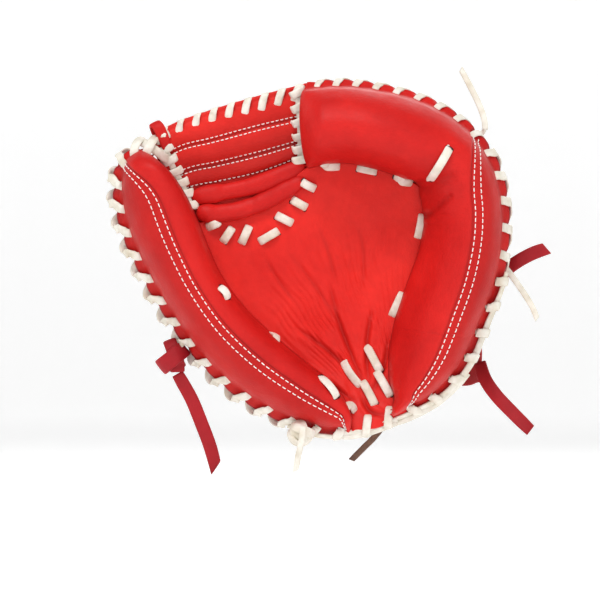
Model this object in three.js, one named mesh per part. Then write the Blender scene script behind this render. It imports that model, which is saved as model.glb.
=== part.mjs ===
// A right-handed thrower's baseball catcher's mitt, as an assembly of leather shells, felt pads,
// linings and laces. Millimetres. +X is the little-finger side, +Y the back of the hand, +Z the
// fingertips. The origin is the middle of the heel, where the hand goes in.
import * as THREE from 'three';

// ---- Driving dimensions ----
const LEATHER = 2.4;          // shell leather
const LINING = 1.4;           // soft lining leather
const PALM_FELT = 8;          // felt behind the palm leather
const FELT_INSET = 5.6;       // from a roll's leather to the felt inside it
const GAP = 0.4;              // clearance between neighbouring pieces
const LACE_WIDTH = 5;
const LACE_THICKNESS = 1.6;
const WELT_RADIUS = 2.2;      // rolled edge that the edge lace wraps
const LACE_REACH = 5;         // from the welt's centre line to the middle of the edge lace
const SHELL_INSET = 6.9;      // from the welt's centre line to the edge of a shell
const LACE_PITCH = 15.6;      // one loop of the edge lace
const STRAP_HEIGHT = 40;
const TIE_WIDTH = 9.5;        // flat red leather tie
const TIE_THICKNESS = 2.4;
const TAIL_WIDTH = 4.4;       // cream lace tail
const TAIL_THICKNESS = 1.8;
const LOOP_BAND = 14;         // thumb and little-finger loops

// ---- Colours ----
const RED = 0xe23a34;
const DEEP_RED = 0xb3242a;
const CREAM = 0xf3ecdb;
const FELT = 0xd9cdb8;
const TAN = 0xc79a6b;
const FLEECE = 0xe9e3d6;
const UNDYED = 0x6b4632;

// ---- Curves ----
const vector = (point) => new THREE.Vector3(...point);

function rail(points) {
  const curve = new THREE.CatmullRomCurve3(points.map(vector), false, 'centripetal');
  return (u) => curve.getPointAt(THREE.MathUtils.clamp(u, 0, 1));
}

function valueThrough(knots) {
  const last = knots.length - 1;
  const curve = new THREE.SplineCurve(knots.map((value, i) => new THREE.Vector2(i / last, value)));
  return (u) => curve.getPoint(u).y;
}

const profileThrough = (points) => new THREE.SplineCurve(points.map(([x, y]) => new THREE.Vector2(x, y)));

const moved = (curve, x, y, z) => (u) => curve(u).add(new THREE.Vector3(x, y, z));

// A rail moved by a distance towards another rail.
function towards(curve, other, distance) {
  return (u) => {
    const start = curve(u);
    return start.clone().add(other(u).sub(start).setLength(distance));
  };
}

const stretch = (curve, from, to) => (u) => curve(from + (to - from) * u);

// ---- Surfaces: each takes u along the piece and v across it ----

// A padded roll between an outer edge and an inner base, rising towards the front.
function rollSurface(edge, base, height, profile) {
  return (u, v) => {
    const section = profile.getPoint(v);
    return edge(u).lerp(base(u), section.x).add(new THREE.Vector3(0, -height(u) * section.y, 0));
  };
}

// A smooth sheet through several rails.
function sheetThrough(rails) {
  return (u, v) => {
    const section = new THREE.CatmullRomCurve3(rails.map((curve) => curve(u)), false, 'centripetal');
    return section.getPoint(v);
  };
}

const behind = (surface, distance) => (u, v) => surface(u, v).add(new THREE.Vector3(0, distance, 0));

function normalAt(surface, u, v) {
  const step = 0.01;
  const alongU = surface(Math.min(u + step, 1), v).sub(surface(Math.max(u - step, 0), v));
  const alongV = surface(u, Math.min(v + step, 1)).sub(surface(u, Math.max(v - step, 0)));
  return alongU.cross(alongV).normalize();
}

const offset = (surface, distance) => (u, v) => (
  surface(u, v).addScaledVector(normalAt(surface, u, v), distance)
);

function part(surface, [uFrom, uTo], [vFrom, vTo]) {
  return (u, v) => surface(uFrom + (uTo - uFrom) * u, vFrom + (vTo - vFrom) * v);
}

// ---- Solids ----
function facingOut(positions, index) {
  const corner = (i) => new THREE.Vector3().fromArray(positions, index[i] * 3);
  let volume = 0;
  for (let i = 0; i < index.length; i += 3) {
    volume += corner(i).dot(corner(i + 1).cross(corner(i + 2)));
  }
  const geometry = new THREE.BufferGeometry();
  geometry.setAttribute('position', new THREE.Float32BufferAttribute(positions, 3));
  geometry.setIndex(volume < 0 ? [...index].reverse() : index);
  geometry.computeVertexNormals();
  return geometry;
}

// The closed solid between two surfaces with the same u and v.
function solidBetween(front, back, uSteps, vSteps) {
  const positions = [];
  const index = [];
  for (const surface of [front, back]) {
    for (let i = 0; i <= uSteps; i += 1) {
      for (let j = 0; j <= vSteps; j += 1) {
        positions.push(...surface(i / uSteps, j / vSteps).toArray());
      }
    }
  }
  const at = (layer, i, j) => (layer * (uSteps + 1) + i) * (vSteps + 1) + j;
  const quad = (a, b, c, d) => index.push(a, b, c, a, c, d);
  for (let i = 0; i < uSteps; i += 1) {
    for (let j = 0; j < vSteps; j += 1) {
      quad(at(0, i, j), at(0, i, j + 1), at(0, i + 1, j + 1), at(0, i + 1, j));
      quad(at(1, i, j), at(1, i + 1, j), at(1, i + 1, j + 1), at(1, i, j + 1));
    }
    quad(at(0, i, 0), at(0, i + 1, 0), at(1, i + 1, 0), at(1, i, 0));
    quad(at(0, i, vSteps), at(1, i, vSteps), at(1, i + 1, vSteps), at(0, i + 1, vSteps));
  }
  for (let j = 0; j < vSteps; j += 1) {
    quad(at(0, 0, j), at(1, 0, j), at(1, 0, j + 1), at(0, 0, j + 1));
    quad(at(0, uSteps, j), at(0, uSteps, j + 1), at(1, uSteps, j + 1), at(1, uSteps, j));
  }
  return facingOut(positions, index);
}

// A flat strip along points, lying square to the normals.
function strip(points, normals, width, thickness) {
  const last = points.length - 1;
  const corner = (u, v, side) => {
    const i = Math.round(u * last);
    const tangent = points[Math.min(i + 1, last)].clone().sub(points[Math.max(i - 1, 0)]).normalize();
    const across = tangent.clone().cross(normals[i]).normalize();
    const up = across.clone().cross(tangent).normalize();
    return points[i].clone()
      .addScaledVector(across, (v - 0.5) * width)
      .addScaledVector(up, side * thickness / 2);
  };
  return solidBetween((u, v) => corner(u, v, 1), (u, v) => corner(u, v, -1), last, 1);
}

// A lace that lies on the front of a surface, from one (u, v) place to the next.
function laceOn(surface, places, steps) {
  const route = profileThrough(places);
  const points = [];
  const normals = [];
  for (let i = 0; i <= steps; i += 1) {
    const place = route.getPoint(i / steps);
    const out = normalAt(surface, place.x, place.y).negate();
    normals.push(out);
    points.push(surface(place.x, place.y).addScaledVector(out, LACE_THICKNESS / 2 + 2 * GAP));
  }
  return strip(points, normals, LACE_WIDTH, LACE_THICKNESS);
}

// An edge lace that winds round the welt, one loop to each pitch.
function windingLace(edge, inner) {
  const sidesOfLoop = 6;
  let length = 0;
  for (let i = 0; i < 40; i += 1) {
    length += edge(i / 40).distanceTo(edge((i + 1) / 40));
  }
  const loops = Math.round(length / LACE_PITCH);
  const steps = loops * sidesOfLoop;
  const points = [];
  const normals = [];
  for (let i = 0; i <= steps; i += 1) {
    const u = i / steps;
    const outward = edge(u).sub(inner(u)).setY(0).normalize();
    const turn = 2 * Math.PI * i / sidesOfLoop;
    const radial = outward.multiplyScalar(Math.cos(turn)).add(new THREE.Vector3(0, Math.sin(turn), 0));
    normals.push(radial);
    points.push(edge(u).addScaledVector(radial, LACE_REACH));
  }
  return strip(points, normals, LACE_WIDTH * 0.6, LACE_THICKNESS);
}

function ellipse(thickness, width, sides) {
  const shape = new THREE.Shape();
  for (let i = 0; i < sides; i += 1) {
    const turn = 2 * Math.PI * i / sides;
    const x = Math.cos(turn) * thickness / 2;
    const y = Math.sin(turn) * width / 2;
    if (i === 0) shape.moveTo(x, y);
    else shape.lineTo(x, y);
  }
  return shape;
}

// A tube or flat tail along a route chosen by hand.
function tail(points, thickness, width) {
  const route = new THREE.CatmullRomCurve3(points.map(vector), false, 'centripetal');
  const steps = Math.max(6, Math.round(route.getLength() / (2.5 * Math.max(thickness, 3))));
  const sides = 8;
  return new THREE.ExtrudeGeometry(ellipse(thickness, width, sides), {
    steps,
    extrudePath: route,
    bevelEnabled: false,
  });
}

function welt(edge, steps) {
  const points = [];
  for (let i = 0; i <= steps; i += 1) points.push(edge(i / steps));
  const route = new THREE.CatmullRomCurve3(points, false, 'centripetal');
  return new THREE.ExtrudeGeometry(ellipse(2 * WELT_RADIUS, 2 * WELT_RADIUS, 6), {
    steps,
    extrudePath: route,
    bevelEnabled: false,
  });
}

// ---- Outline and seams ----
// The outer edge runs clockwise, seen from the front: heel, thumb, web, fingers, little finger, heel.
const thumbEdge = rail([
  [14, -3, 4], [-21, 0, 7], [-48, 1, 20], [-80, 1, 42], [-105, 1, 70], [-125, -1, 102], [-141, -3, 133],
  [-150, -6, 164], [-151, -10, 184], [-143, -13, 197],
]);
const thumbBase = rail([
  [13, -7, 16], [8, -2, 30], [-12, 6, 48], [-40, 9, 72], [-70, 10, 101], [-84, 9, 128], [-95, 5, 158],
]);
const webTop = rail([[-119, -12, 217], [-91, -11, 227], [-56, -10, 238], [-24, -9, 248]]);
const webFoot = rail([[-88, 3, 160], [-76, 4, 156], [-54, 4, 161], [-24, 3, 180]]);
const fingerTop = rail([[-16, -8, 249], [3, -8, 251], [30, -8, 248], [64, -8, 240], [88, -8, 229]]);
const padFoot = rail([[-14, -5, 191], [3, -2, 196], [27, -2, 192], [46, -2, 186], [60, -3, 181]]);
const littleEdge = rail([
  [97, -8, 224], [112, -8, 206], [121, -7, 180], [125, -5, 160], [125, -4, 136], [119, -2, 108],
  [110, -1, 82], [98, 0, 55], [80, 0, 33], [58, 0, 20], [44, -2, 15],
]);
const littleBase = rail([
  [66, 0, 182], [67, 5, 160], [66, 9, 140], [59, 10, 119], [50, 9, 94], [44, 6, 70], [43, 2, 48],
  [46, -4, 30],
]);
const heelEdgeThumb = rail([[17, -4, 8], [14, -3, 4]]);
const heelEdgeLittle = rail([[44, -2, 15], [34, -4, 12], [26, -5, 10]]);

// The fold of the palm, between the thumb half and the finger half.
const fold = rail([
  [18, -8, 11], [15, 3, 35], [11, 10, 62], [6, 13, 92], [1, 14, 125], [-5, 12, 155], [-10, 8, 180],
]);
const palmThumbMiddle = rail([
  [15.5, -8, 14], [11, 2, 34], [0, 9, 58], [-16, 12, 88], [-32, 14, 116], [-44, 12, 140], [-54, 11, 154],
]);
const palmThumbOuter = moved(thumbBase, 0, GAP, -1);
const palmFingerMiddle = rail([
  [32, -8, 14], [31, 3, 38], [31, 9, 66], [32, 12, 95], [32, 12, 125], [29, 8, 155], [22, 3, 186],
]);
const palmFingerOuter = (u) => littleBase(1 - u).add(new THREE.Vector3(0, GAP, 0));

const palmThumb = sheetThrough([palmThumbOuter, palmThumbMiddle, moved(fold, -GAP, 0, 0)]);
const palmFinger = sheetThrough([moved(fold, GAP, 0, 0), palmFingerMiddle, palmFingerOuter]);

// ---- Rolls ----
const thumbRoll = profileThrough([
  [0, 0], [0.07, 0.36], [0.3, 0.76], [0.6, 0.96], [0.85, 1], [1, 0.84], [1.02, 0.45], [1, 0],
]);
const littleRoll = profileThrough([
  [0, 0], [0.03, 0.45], [0.17, 0.9], [0.38, 1], [0.62, 0.76], [0.84, 0.34], [1, 0],
]);
const fingerRoll = profileThrough([
  [0, 0], [0.04, 0.42], [0.3, 0.86], [0.62, 1], [0.9, 0.86], [1.03, 0.48], [1, 0],
]);
const thumbHeight = valueThrough([9, 24, 36, 44, 47, 45, 40, 26]);
const littleHeight = valueThrough([28, 33, 37, 37, 33, 26, 12]);
const fingerHeight = valueThrough([26, 38, 42, 40, 32]);

function roll(edge, base, height, profile) {
  const shellEdge = towards(edge, base, SHELL_INSET);
  const shellBase = moved(base, 0, -GAP, 0);
  const skin = rollSurface(shellEdge, shellBase, height, profile);
  const feltEdge = towards(shellEdge, shellBase, FELT_INSET);
  const feltBase = towards(shellBase, shellEdge, FELT_INSET);
  const felt = rollSurface(feltEdge, feltBase, (u) => height(u) - FELT_INSET, profile);
  const feltFloor = (u, v) => {
    const across = THREE.MathUtils.clamp(profile.getPoint(v).x, 0.02, 0.98);
    return feltEdge(u).lerp(feltBase(u), across).add(new THREE.Vector3(0, GAP, 0));
  };
  return { skin, felt, feltFloor };
}

const thumb = roll(thumbEdge, thumbBase, thumbHeight, thumbRoll);
const little = roll(littleEdge, littleBase, littleHeight, littleRoll);
const finger = roll(fingerTop, padFoot, fingerHeight, fingerRoll);

// ---- Web ----
const webFront = sheetThrough([
  towards(webTop, webFoot, SHELL_INSET),
  rail([[-112, -4, 200], [-84, -3, 206], [-52, -2, 214], [-24, -2, 222]]),
  rail([[-101, 3, 180], [-80, 5, 182], [-53, 6, 188], [-24, 5, 200]]),
  webFoot,
]);

// ---- Back of the hand ----
const thumbBack = sheetThrough([
  rail([[-38, 6, 28], [-70, 6, 47], [-94, 6, 75], [-114, 5, 104], [-129, 3, 135], [-139, 0, 164],
    [-140, -4, 182]]),
  rail([[-42, 30, 40], [-62, 32, 58], [-82, 32, 84], [-98, 30, 110], [-110, 26, 136], [-117, 20, 158],
    [-116, 14, 170]]),
  rail([[-38, 48, 54], [-48, 50, 70], [-58, 49, 92], [-68, 45, 112], [-76, 40, 130], [-80, 32, 144],
    [-80, 26, 150]]),
  rail([[-22, 56, 84], [-22, 56, 96], [-22, 55, 106], [-23, 52, 118], [-24, 46, 130], [-26, 40, 140],
    [-27, 36, 146]]),
]);
const fingerBack = sheetThrough([
  rail([[107, 6, 70], [117, 5, 108], [118, 3, 150], [112, 1, 188], [94, -1, 213], [60, -1, 234],
    [25, -1, 242], [-12, -1, 241]]),
  rail([[100, 28, 72], [108, 32, 108], [108, 30, 150], [100, 26, 184], [84, 22, 204], [56, 20, 220],
    [22, 20, 227], [-8, 16, 224]]),
  rail([[94, 46, 74], [92, 51, 100], [86, 49, 135], [76, 45, 164], [62, 40, 182], [42, 37, 194],
    [18, 36, 198], [-8, 32, 188]]),
  rail([[84, 54, 76], [74, 59, 88], [60, 61, 98], [46, 61, 104], [30, 60, 108], [16, 58, 110],
    [4, 55, 112], [-10, 50, 114]]),
]);

// ---- Lining of the palm side, behind the felt ----
const liningBehind = PALM_FELT + LEATHER + 10 * GAP;
const palmLiningThumb = sheetThrough([
  moved(fold, -2, liningBehind, 0),
  moved(thumbBase, 0, liningBehind, 0),
  moved(towards(thumbEdge, thumbBase, 20), 0, 5, 0),
]);
const palmLiningFinger = sheetThrough([
  rail([[22, 6, 14], [17, 18, 38], [13, 26, 70], [7, 28, 110], [0, 27, 145], [-6, 22, 180], [-10, 12, 210],
    [-10, 3, 236]]),
  rail([[33, 6, 18], [32, 18, 45], [32, 25, 80], [33, 27, 115], [32, 25, 150], [30, 19, 185],
    [34, 11, 213], [38, 3, 234]]),
  rail([[44, 9, 24], [45, 17, 50], [52, 22, 84], [62, 24, 115], [70, 22, 145], [72, 17, 175],
    [78, 10, 200], [80, 3, 218]]),
  rail([[52, 9, 30], [78, 9, 48], [98, 9, 80], [108, 8, 115], [112, 6, 145], [111, 4, 172],
    [106, 2, 190], [94, 1, 208]]),
]);

// ---- Wrist strap, across the back of the hand ----
const strapFoot = 56 - STRAP_HEIGHT / 2;
const strapBand = (route, from, height) => sheetThrough([
  rail(route.map(([x, y]) => [x, y, strapFoot + from])),
  rail(route.map(([x, y]) => [x, y, strapFoot + from + height])),
]);
const strapFingerRoute = [[106, 34], [96, 52], [70, 69], [40, 75], [14, 77]];
const strapThumbRoute = [[9, 77], [-16, 75], [-42, 66], [-61, 54], [-73, 43]];

// ---- Assembly ----
const mitt = new THREE.Group();
const fingerSide = new THREE.Group();
const thumbSide = new THREE.Group();
mitt.add(fingerSide, thumbSide);

function add(side, name, geometry, color, roughness) {
  const material = new THREE.MeshStandardMaterial({ color, roughness, metalness: 0 });
  const mesh = new THREE.Mesh(geometry, material);
  mesh.name = name;
  side.add(mesh);
  return mesh;
}

const skinSolid = (surface, uSteps, vSteps) => (
  solidBetween(surface, offset(surface, LEATHER), uSteps, vSteps)
);
const layer = (surface, from, to, uSteps, vSteps) => (
  solidBetween(behind(surface, from), behind(surface, to), uSteps, vSteps)
);

function addRoll(side, names, shape, uSteps, vSteps) {
  const inside = [0.02, 0.98];
  add(side, names.skin, skinSolid(part(shape.skin, inside, [0, 1]), uSteps, vSteps), RED, 0.45);
  const felt = solidBetween(
    part(shape.felt, [0.05, 0.92], [0, 1]),
    part(shape.feltFloor, [0.05, 0.92], [0, 1]),
    Math.round(uSteps * 0.6),
    vSteps - 2,
  );
  add(side, names.felt, felt, FELT, 0.95);
}

addRoll(thumbSide, { skin: 'thumb_rim_panel', felt: 'thumb_felt_pad' }, thumb, 22, 9);
addRoll(fingerSide, { skin: 'finger_pad_cover', felt: 'finger_felt_pad' }, finger, 12, 8);
addRoll(fingerSide, { skin: 'little_finger_rim_panel', felt: 'little_finger_felt_pad' }, little, 18, 8);

// Palm: leather, felt and lining, each in a thumb half and a finger half.
const feltFrom = LEATHER + 3 * GAP;
const feltTo = feltFrom + PALM_FELT;
for (const [side, end, surface, lining] of [
  [thumbSide, 'thumb', palmThumb, palmLiningThumb],
  [fingerSide, 'finger', palmFinger, palmLiningFinger],
]) {
  add(side, `palm_leather_${end}`, layer(surface, 0, LEATHER, 12, 6), RED, 0.5);
  const inner = part(surface, [0.05, 0.96], [0.06, 0.94]);
  add(side, `palm_felt_${end}`, layer(inner, feltFrom, feltTo, 8, 4), FELT, 0.95);
  add(side, `palm_lining_${end}`, layer(lining, 0, LINING, 10, 6), TAN, 0.7);
}

// Back of the hand.
add(thumbSide, 'thumb_back', solidBetween(thumbBack, offset(thumbBack, LEATHER), 12, 6), DEEP_RED, 0.5);
add(fingerSide, 'finger_back', solidBetween(fingerBack, offset(fingerBack, -LEATHER), 14, 6), DEEP_RED, 0.5);

// Web.
add(thumbSide, 'web_front_leather', layer(webFront, 0, LEATHER, 8, 6), RED, 0.5);
add(thumbSide, 'web_back_leather', layer(part(webFront, [0.02, 0.98], [0.02, 0.98]), LEATHER + GAP,
  2 * LEATHER + GAP, 8, 6), DEEP_RED, 0.5);

// Edge welts and the laces wound round them.
for (const [side, end, edge, inner, steps] of [
  [thumbSide, 'thumb', thumbEdge, thumbBase, 24],
  [thumbSide, 'web', webTop, webFoot, 8],
  [fingerSide, 'finger', fingerTop, padFoot, 8],
  [fingerSide, 'little_finger', littleEdge, littleBase, 20],
]) {
  const run = stretch(edge, 0.01, 0.99);
  add(side, `edge_welt_${end}`, welt(run, steps), DEEP_RED, 0.5);
  add(side, `edge_lace_${end}`, windingLace(run, stretch(inner, 0.01, 0.99)), CREAM, 0.6);
}

// Web rolls, and the tab folded over the corner of the web.
function padOn(surface, uRange, vRange, height) {
  const patch = part(surface, uRange, vRange);
  const crown = (u, v) => 1 + height * Math.sin(Math.PI * v) * Math.min(1, 8 * u, 8 * (1 - u));
  const front = (u, v) => behind(patch, -3 * GAP - crown(u, v))(u, v);
  return solidBetween(front, behind(patch, -3 * GAP), 8, 4);
}
add(thumbSide, 'web_roll_upper', padOn(webFront, [0.06, 0.94], [0.66, 0.8], 7), RED, 0.5);
add(thumbSide, 'web_roll_lower', padOn(webFront, [0.06, 0.94], [0.83, 0.97], 7), RED, 0.5);
const tabRoute = [[-123, -21, 224], [-118, -20, 213], [-112, -15, 201]].map(vector);
const facingFront = (points) => points.map(() => new THREE.Vector3(0, -1, 0));
add(thumbSide, 'web_tab', strip(tabRoute, facingFront(tabRoute), 8, LEATHER), RED, 0.5);

// Laces that lie on the leather.
const webUpper = part(webFront, [0, 1], [0.06, 0.62]);
for (const [side, name, surface, places] of [
  [thumbSide, 'web_lace_thumb', webUpper, [[0.04, 0], [0.04, 0.5], [0.04, 1]]],
  [thumbSide, 'web_lace_finger', webUpper, [[0.96, 0], [0.96, 0.5], [0.96, 1]]],
  [thumbSide, 'crotch_lace', palmThumb, [[0.9, 0.08], [0.92, 0.5], [0.93, 0.92]]],
  [fingerSide, 'finger_pad_lace', palmFinger, [[0.9, 0.12], [0.9, 0.5], [0.9, 0.85]]],
  [fingerSide, 'palm_crease_lace', palmFinger, [[0.82, 0.86], [0.6, 0.86], [0.38, 0.86]]],
  [fingerSide, 'heel_lace', palmFinger, [[0.32, 0.08], [0.2, 0.3], [0.08, 0.55]]],
]) {
  add(side, name, laceOn(surface, places, 10), CREAM, 0.6);
}

// Wrist strap with its fleece and a plain patch.
const strapFinger = strapBand(strapFingerRoute, 0, STRAP_HEIGHT);
const strapThumb = strapBand(strapThumbRoute, 0, STRAP_HEIGHT);
add(fingerSide, 'wrist_strap_finger', layer(strapFinger, 0, LEATHER, 10, 2), DEEP_RED, 0.5);
add(thumbSide, 'wrist_strap_thumb', layer(strapThumb, 0, LEATHER, 8, 2), DEEP_RED, 0.5);
const fleeceFinger = part(strapBand(strapFingerRoute, 4, STRAP_HEIGHT - 13), [0.3, 0.98], [0, 1]);
const fleeceThumb = part(strapBand(strapThumbRoute, 4, STRAP_HEIGHT - 13), [0.02, 0.5], [0, 1]);
add(fingerSide, 'strap_fleece_finger', layer(fleeceFinger, -6, -GAP, 8, 2), FLEECE, 1);
add(thumbSide, 'strap_fleece_thumb', layer(fleeceThumb, -6, -GAP, 5, 2), FLEECE, 1);
const patch = add(fingerSide, 'strap_patch', new THREE.BoxGeometry(34, LEATHER, 22), DEEP_RED, 0.5);
patch.position.set(34, 81, 56);

// Linings of the back shells.
const liningOf = (surface, uRange, vRange, direction) => {
  const inner = part(surface, uRange, vRange);
  const from = 5 * GAP;
  return solidBetween(offset(inner, direction * from), offset(inner, direction * (from + LINING)), 9, 5);
};
add(fingerSide, 'finger_back_lining', liningOf(fingerBack, [0.06, 0.96], [0.3, 0.98], 1), TAN, 0.7);
add(thumbSide, 'thumb_back_lining', liningOf(thumbBack, [0.06, 0.94], [0.3, 0.96], -1), TAN, 0.7);

// The hood that covers the index finger's knuckle, on the outside of the finger back.
const hoodPatch = part(fingerBack, [0.66, 0.88], [0.5, 0.9]);
const hoodRise = (u, v) => 3 + 6 * Math.sin(Math.PI * u) * Math.sin(Math.PI * v);
const hoodOuter = (u, v) => offset(hoodPatch, -LEATHER - GAP - hoodRise(u, v))(u, v);
add(fingerSide, 'index_finger_hood', solidBetween(offset(hoodPatch, -LEATHER - GAP), hoodOuter, 6, 5),
  DEEP_RED, 0.5);

// Rolled binding round the opening in the back.
function roundTube(points, diameter, steps) {
  const route = new THREE.CatmullRomCurve3(points.map(vector), false, 'centripetal');
  return new THREE.ExtrudeGeometry(ellipse(diameter, diameter, 8), {
    steps,
    extrudePath: route,
    bevelEnabled: false,
  });
}
add(fingerSide, 'back_binding_finger', roundTube([
  [85, 56, 70.5], [74, 61, 82.5], [60, 63, 92.5], [46, 63, 98.5], [30, 62, 102.5], [16, 60, 104.5],
  [4, 57, 106.5], [-9, 52, 108.5],
], 4, 12), DEEP_RED, 0.5);
add(thumbSide, 'back_binding_thumb', roundTube([
  [-18, 57, 84], [-18, 57, 96], [-18, 56, 106], [-19, 53, 118], [-20, 47, 130], [-22, 41, 140],
], 4, 8), DEEP_RED, 0.5);

// Finger loops inside the hand cavity.
function loopBand(points, centre) {
  const route = points.map(vector);
  const hub = vector(centre);
  return strip(route, route.map((point) => point.clone().sub(hub).setZ(0).normalize()), LOOP_BAND, LINING);
}
add(thumbSide, 'thumb_loop', loopBand([
  [-89, 24.5, 108], [-88, 27, 108], [-82, 30.5, 108], [-75, 33.5, 108], [-67, 35, 108], [-61, 33.5, 108],
  [-59, 29.5, 108],
], [-77, 24, 108]), TAN, 0.7);
add(fingerSide, 'little_finger_loop', loopBand([
  [98, 18, 108], [99, 26, 108], [95, 33, 108], [86, 37, 108], [77, 36, 108], [72, 32, 108], [71, 28, 108],
], [86, 24, 108]), TAN, 0.7);

// Knots.
function knot(side, name, centre, radii, color) {
  const mesh = add(side, name, new THREE.SphereGeometry(1, 10, 7).scale(...radii), color, 0.6);
  mesh.position.set(...centre);
}
knot(thumbSide, 'heel_lace_knot', [-20, -13, 4], [6, 4.6, 6], CREAM);
knot(thumbSide, 'tie_knot', [-110.5, 4, 57], [8, 7, 10], DEEP_RED);

// Free tails: each route is chosen by hand.
const tails = [
  [thumbSide, 'heel_lace_tail', TAIL_THICKNESS, TAIL_WIDTH, CREAM, [
    [-19, -19.3, 10], [-19.5, -20, 3], [-21, -19, -5], [-22.5, -17, -12], [-24, -14.5, -21]]],
  [thumbSide, 'tie_tail', TIE_THICKNESS, TIE_WIDTH, DEEP_RED, [
    [-107, 4, 46], [-103, 4, 39], [-97, 4, 28], [-90, 3, 11], [-84, 2, -5], [-80, 2, -20]]],
  [fingerSide, 'strap_tie_lower', TIE_THICKNESS, TIE_WIDTH, DEEP_RED, [
    [107, 33, 53], [110, 26, 42], [117, 19, 31], [128, 13, 19], [141, 8, 6]]],
  [fingerSide, 'strap_tie_upper', TIE_THICKNESS, TIE_WIDTH, DEEP_RED, [
    [111, 43, 106], [121, 31, 115], [130, 20, 123], [142, 16, 130], [153, 14, 134]]],
  [fingerSide, 'lace_tail_side', TAIL_THICKNESS, TAIL_WIDTH, CREAM, [
    [124, 11, 120], [130, 12, 112], [137, 13, 102], [143, 13, 92], [146, 12, 84]]],
  [fingerSide, 'lace_tail_top', TAIL_THICKNESS, TAIL_WIDTH, CREAM, [
    [109, 4, 217], [108, 7, 226], [104, 9, 237], [98, 9, 249], [92, 8, 260]]],
  [fingerSide, 'lace_end_heel', TAIL_THICKNESS, TAIL_WIDTH, UNDYED, [
    [38, 8, 10], [31, 9, 1], [24, 9, -6], [15, 8, -15]]],
];
for (const [side, name, thickness, width, color, route] of tails) {
  add(side, name, tail(route, thickness, width), color, 0.6);
}

export default mitt;
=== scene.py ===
"""A baseball catcher's mitt: the leather, padding, stitching and laces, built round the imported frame."""

import math

import bpy
import numpy as np
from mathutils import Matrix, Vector
from mathutils.bvhtree import BVHTree


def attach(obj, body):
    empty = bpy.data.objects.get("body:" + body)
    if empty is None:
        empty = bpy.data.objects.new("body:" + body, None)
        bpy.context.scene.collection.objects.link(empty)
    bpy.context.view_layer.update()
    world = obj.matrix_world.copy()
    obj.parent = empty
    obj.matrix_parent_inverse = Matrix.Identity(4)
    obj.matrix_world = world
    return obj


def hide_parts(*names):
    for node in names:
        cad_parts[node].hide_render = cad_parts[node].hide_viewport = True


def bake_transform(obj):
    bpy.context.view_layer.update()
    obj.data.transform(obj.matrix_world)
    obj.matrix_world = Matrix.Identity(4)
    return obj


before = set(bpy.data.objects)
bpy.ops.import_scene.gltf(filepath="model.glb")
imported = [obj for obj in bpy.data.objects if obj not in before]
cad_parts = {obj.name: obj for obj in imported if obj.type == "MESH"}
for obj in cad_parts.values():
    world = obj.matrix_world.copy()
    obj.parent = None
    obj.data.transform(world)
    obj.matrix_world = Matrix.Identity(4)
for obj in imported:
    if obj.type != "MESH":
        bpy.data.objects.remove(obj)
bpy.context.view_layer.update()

FINGER, THUMB = "finger_side", "thumb_side"
MM = 0.001
rng = np.random.default_rng(7)

# ------------------------------------------------------------------ camera, lights, floor
# The view is straight on to the pocket, with a long lens.
VIEW_WIDTH = 0.42            # metres across the picture at the mitt's edge
LENS = 180.0
SENSOR = 36.0


def set_camera():
    data = bpy.data.cameras.new("camera")
    data.lens = LENS
    data.sensor_width = SENSOR
    data.clip_end = 20
    camera = bpy.data.objects.new("camera", data)
    distance = VIEW_WIDTH * LENS / SENSOR
    camera.location = (-0.021, -distance, 0.098)
    camera.rotation_euler = (math.pi / 2, 0, 0)
    bpy.context.scene.collection.objects.link(camera)
    bpy.context.scene.camera = camera


def add_area(name, place, target, size, power):
    data = bpy.data.lights.new(name, "AREA")
    data.shape = "RECTANGLE"
    data.size, data.size_y = size
    data.energy = power
    light = bpy.data.objects.new(name, data)
    light.location = place
    light.rotation_euler = (Vector(target) - Vector(place)).to_track_quat("-Z", "Y").to_euler()
    bpy.context.scene.collection.objects.link(light)


def set_lights():
    world = bpy.data.worlds.new("studio")
    world.use_nodes = True
    background = world.node_tree.nodes["Background"]
    background.inputs["Color"].default_value = (1, 1, 1, 1)
    background.inputs["Strength"].default_value = 0.24
    bpy.context.scene.world = world
    target = (0, 0, 0.11)
    add_area("key", (-0.25, -0.95, 1.35), target, (0.6, 0.45), 14)
    add_area("fill", (0.9, -1.0, 0.35), target, (0.8, 0.9), 0.8)
    add_area("rim", (0.3, 0.9, 0.9), target, (1.0, 0.6), 7)


def add_floor():
    """A round pale floor that curves up into a wall all the way round."""
    low, far, top, bend = -0.085, 3.6, 2.4, 0.9
    turns = np.linspace(0, math.pi / 2, 10)
    line = [(0.4, low), (1.6, low)]
    line += [(far - bend + bend * math.sin(a), low + bend - bend * math.cos(a)) for a in turns]
    line += [(far, top)]
    sides = 96
    angles = [2 * math.pi * k / sides for k in range(sides)]
    verts = [(0, 0, low)] + [(r * math.cos(a), r * math.sin(a), z) for r, z in line for a in angles]
    faces = [(0, 1 + k, 1 + (k + 1) % sides) for k in range(sides)]
    faces += [face[::-1] for face in ring_faces(len(line), sides, 1)]
    mesh = bpy.data.meshes.new("floor")
    mesh.from_pydata(verts, [], faces)
    mesh.polygons.foreach_set("use_smooth", [True] * len(mesh.polygons))
    floor = bpy.data.objects.new("floor", mesh)
    material = bpy.data.materials.new("floor")
    material.use_nodes = True
    shader = material.node_tree.nodes["Principled BSDF"]
    shader.inputs["Base Color"].default_value = (0.90, 0.90, 0.90, 1)
    shader.inputs["Roughness"].default_value = 0.9
    shader.inputs["Emission Color"].default_value = (1, 1, 1, 1)
    shader.inputs["Emission Strength"].default_value = 0.36
    mesh.materials.append(material)
    bpy.context.scene.collection.objects.link(floor)


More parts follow.
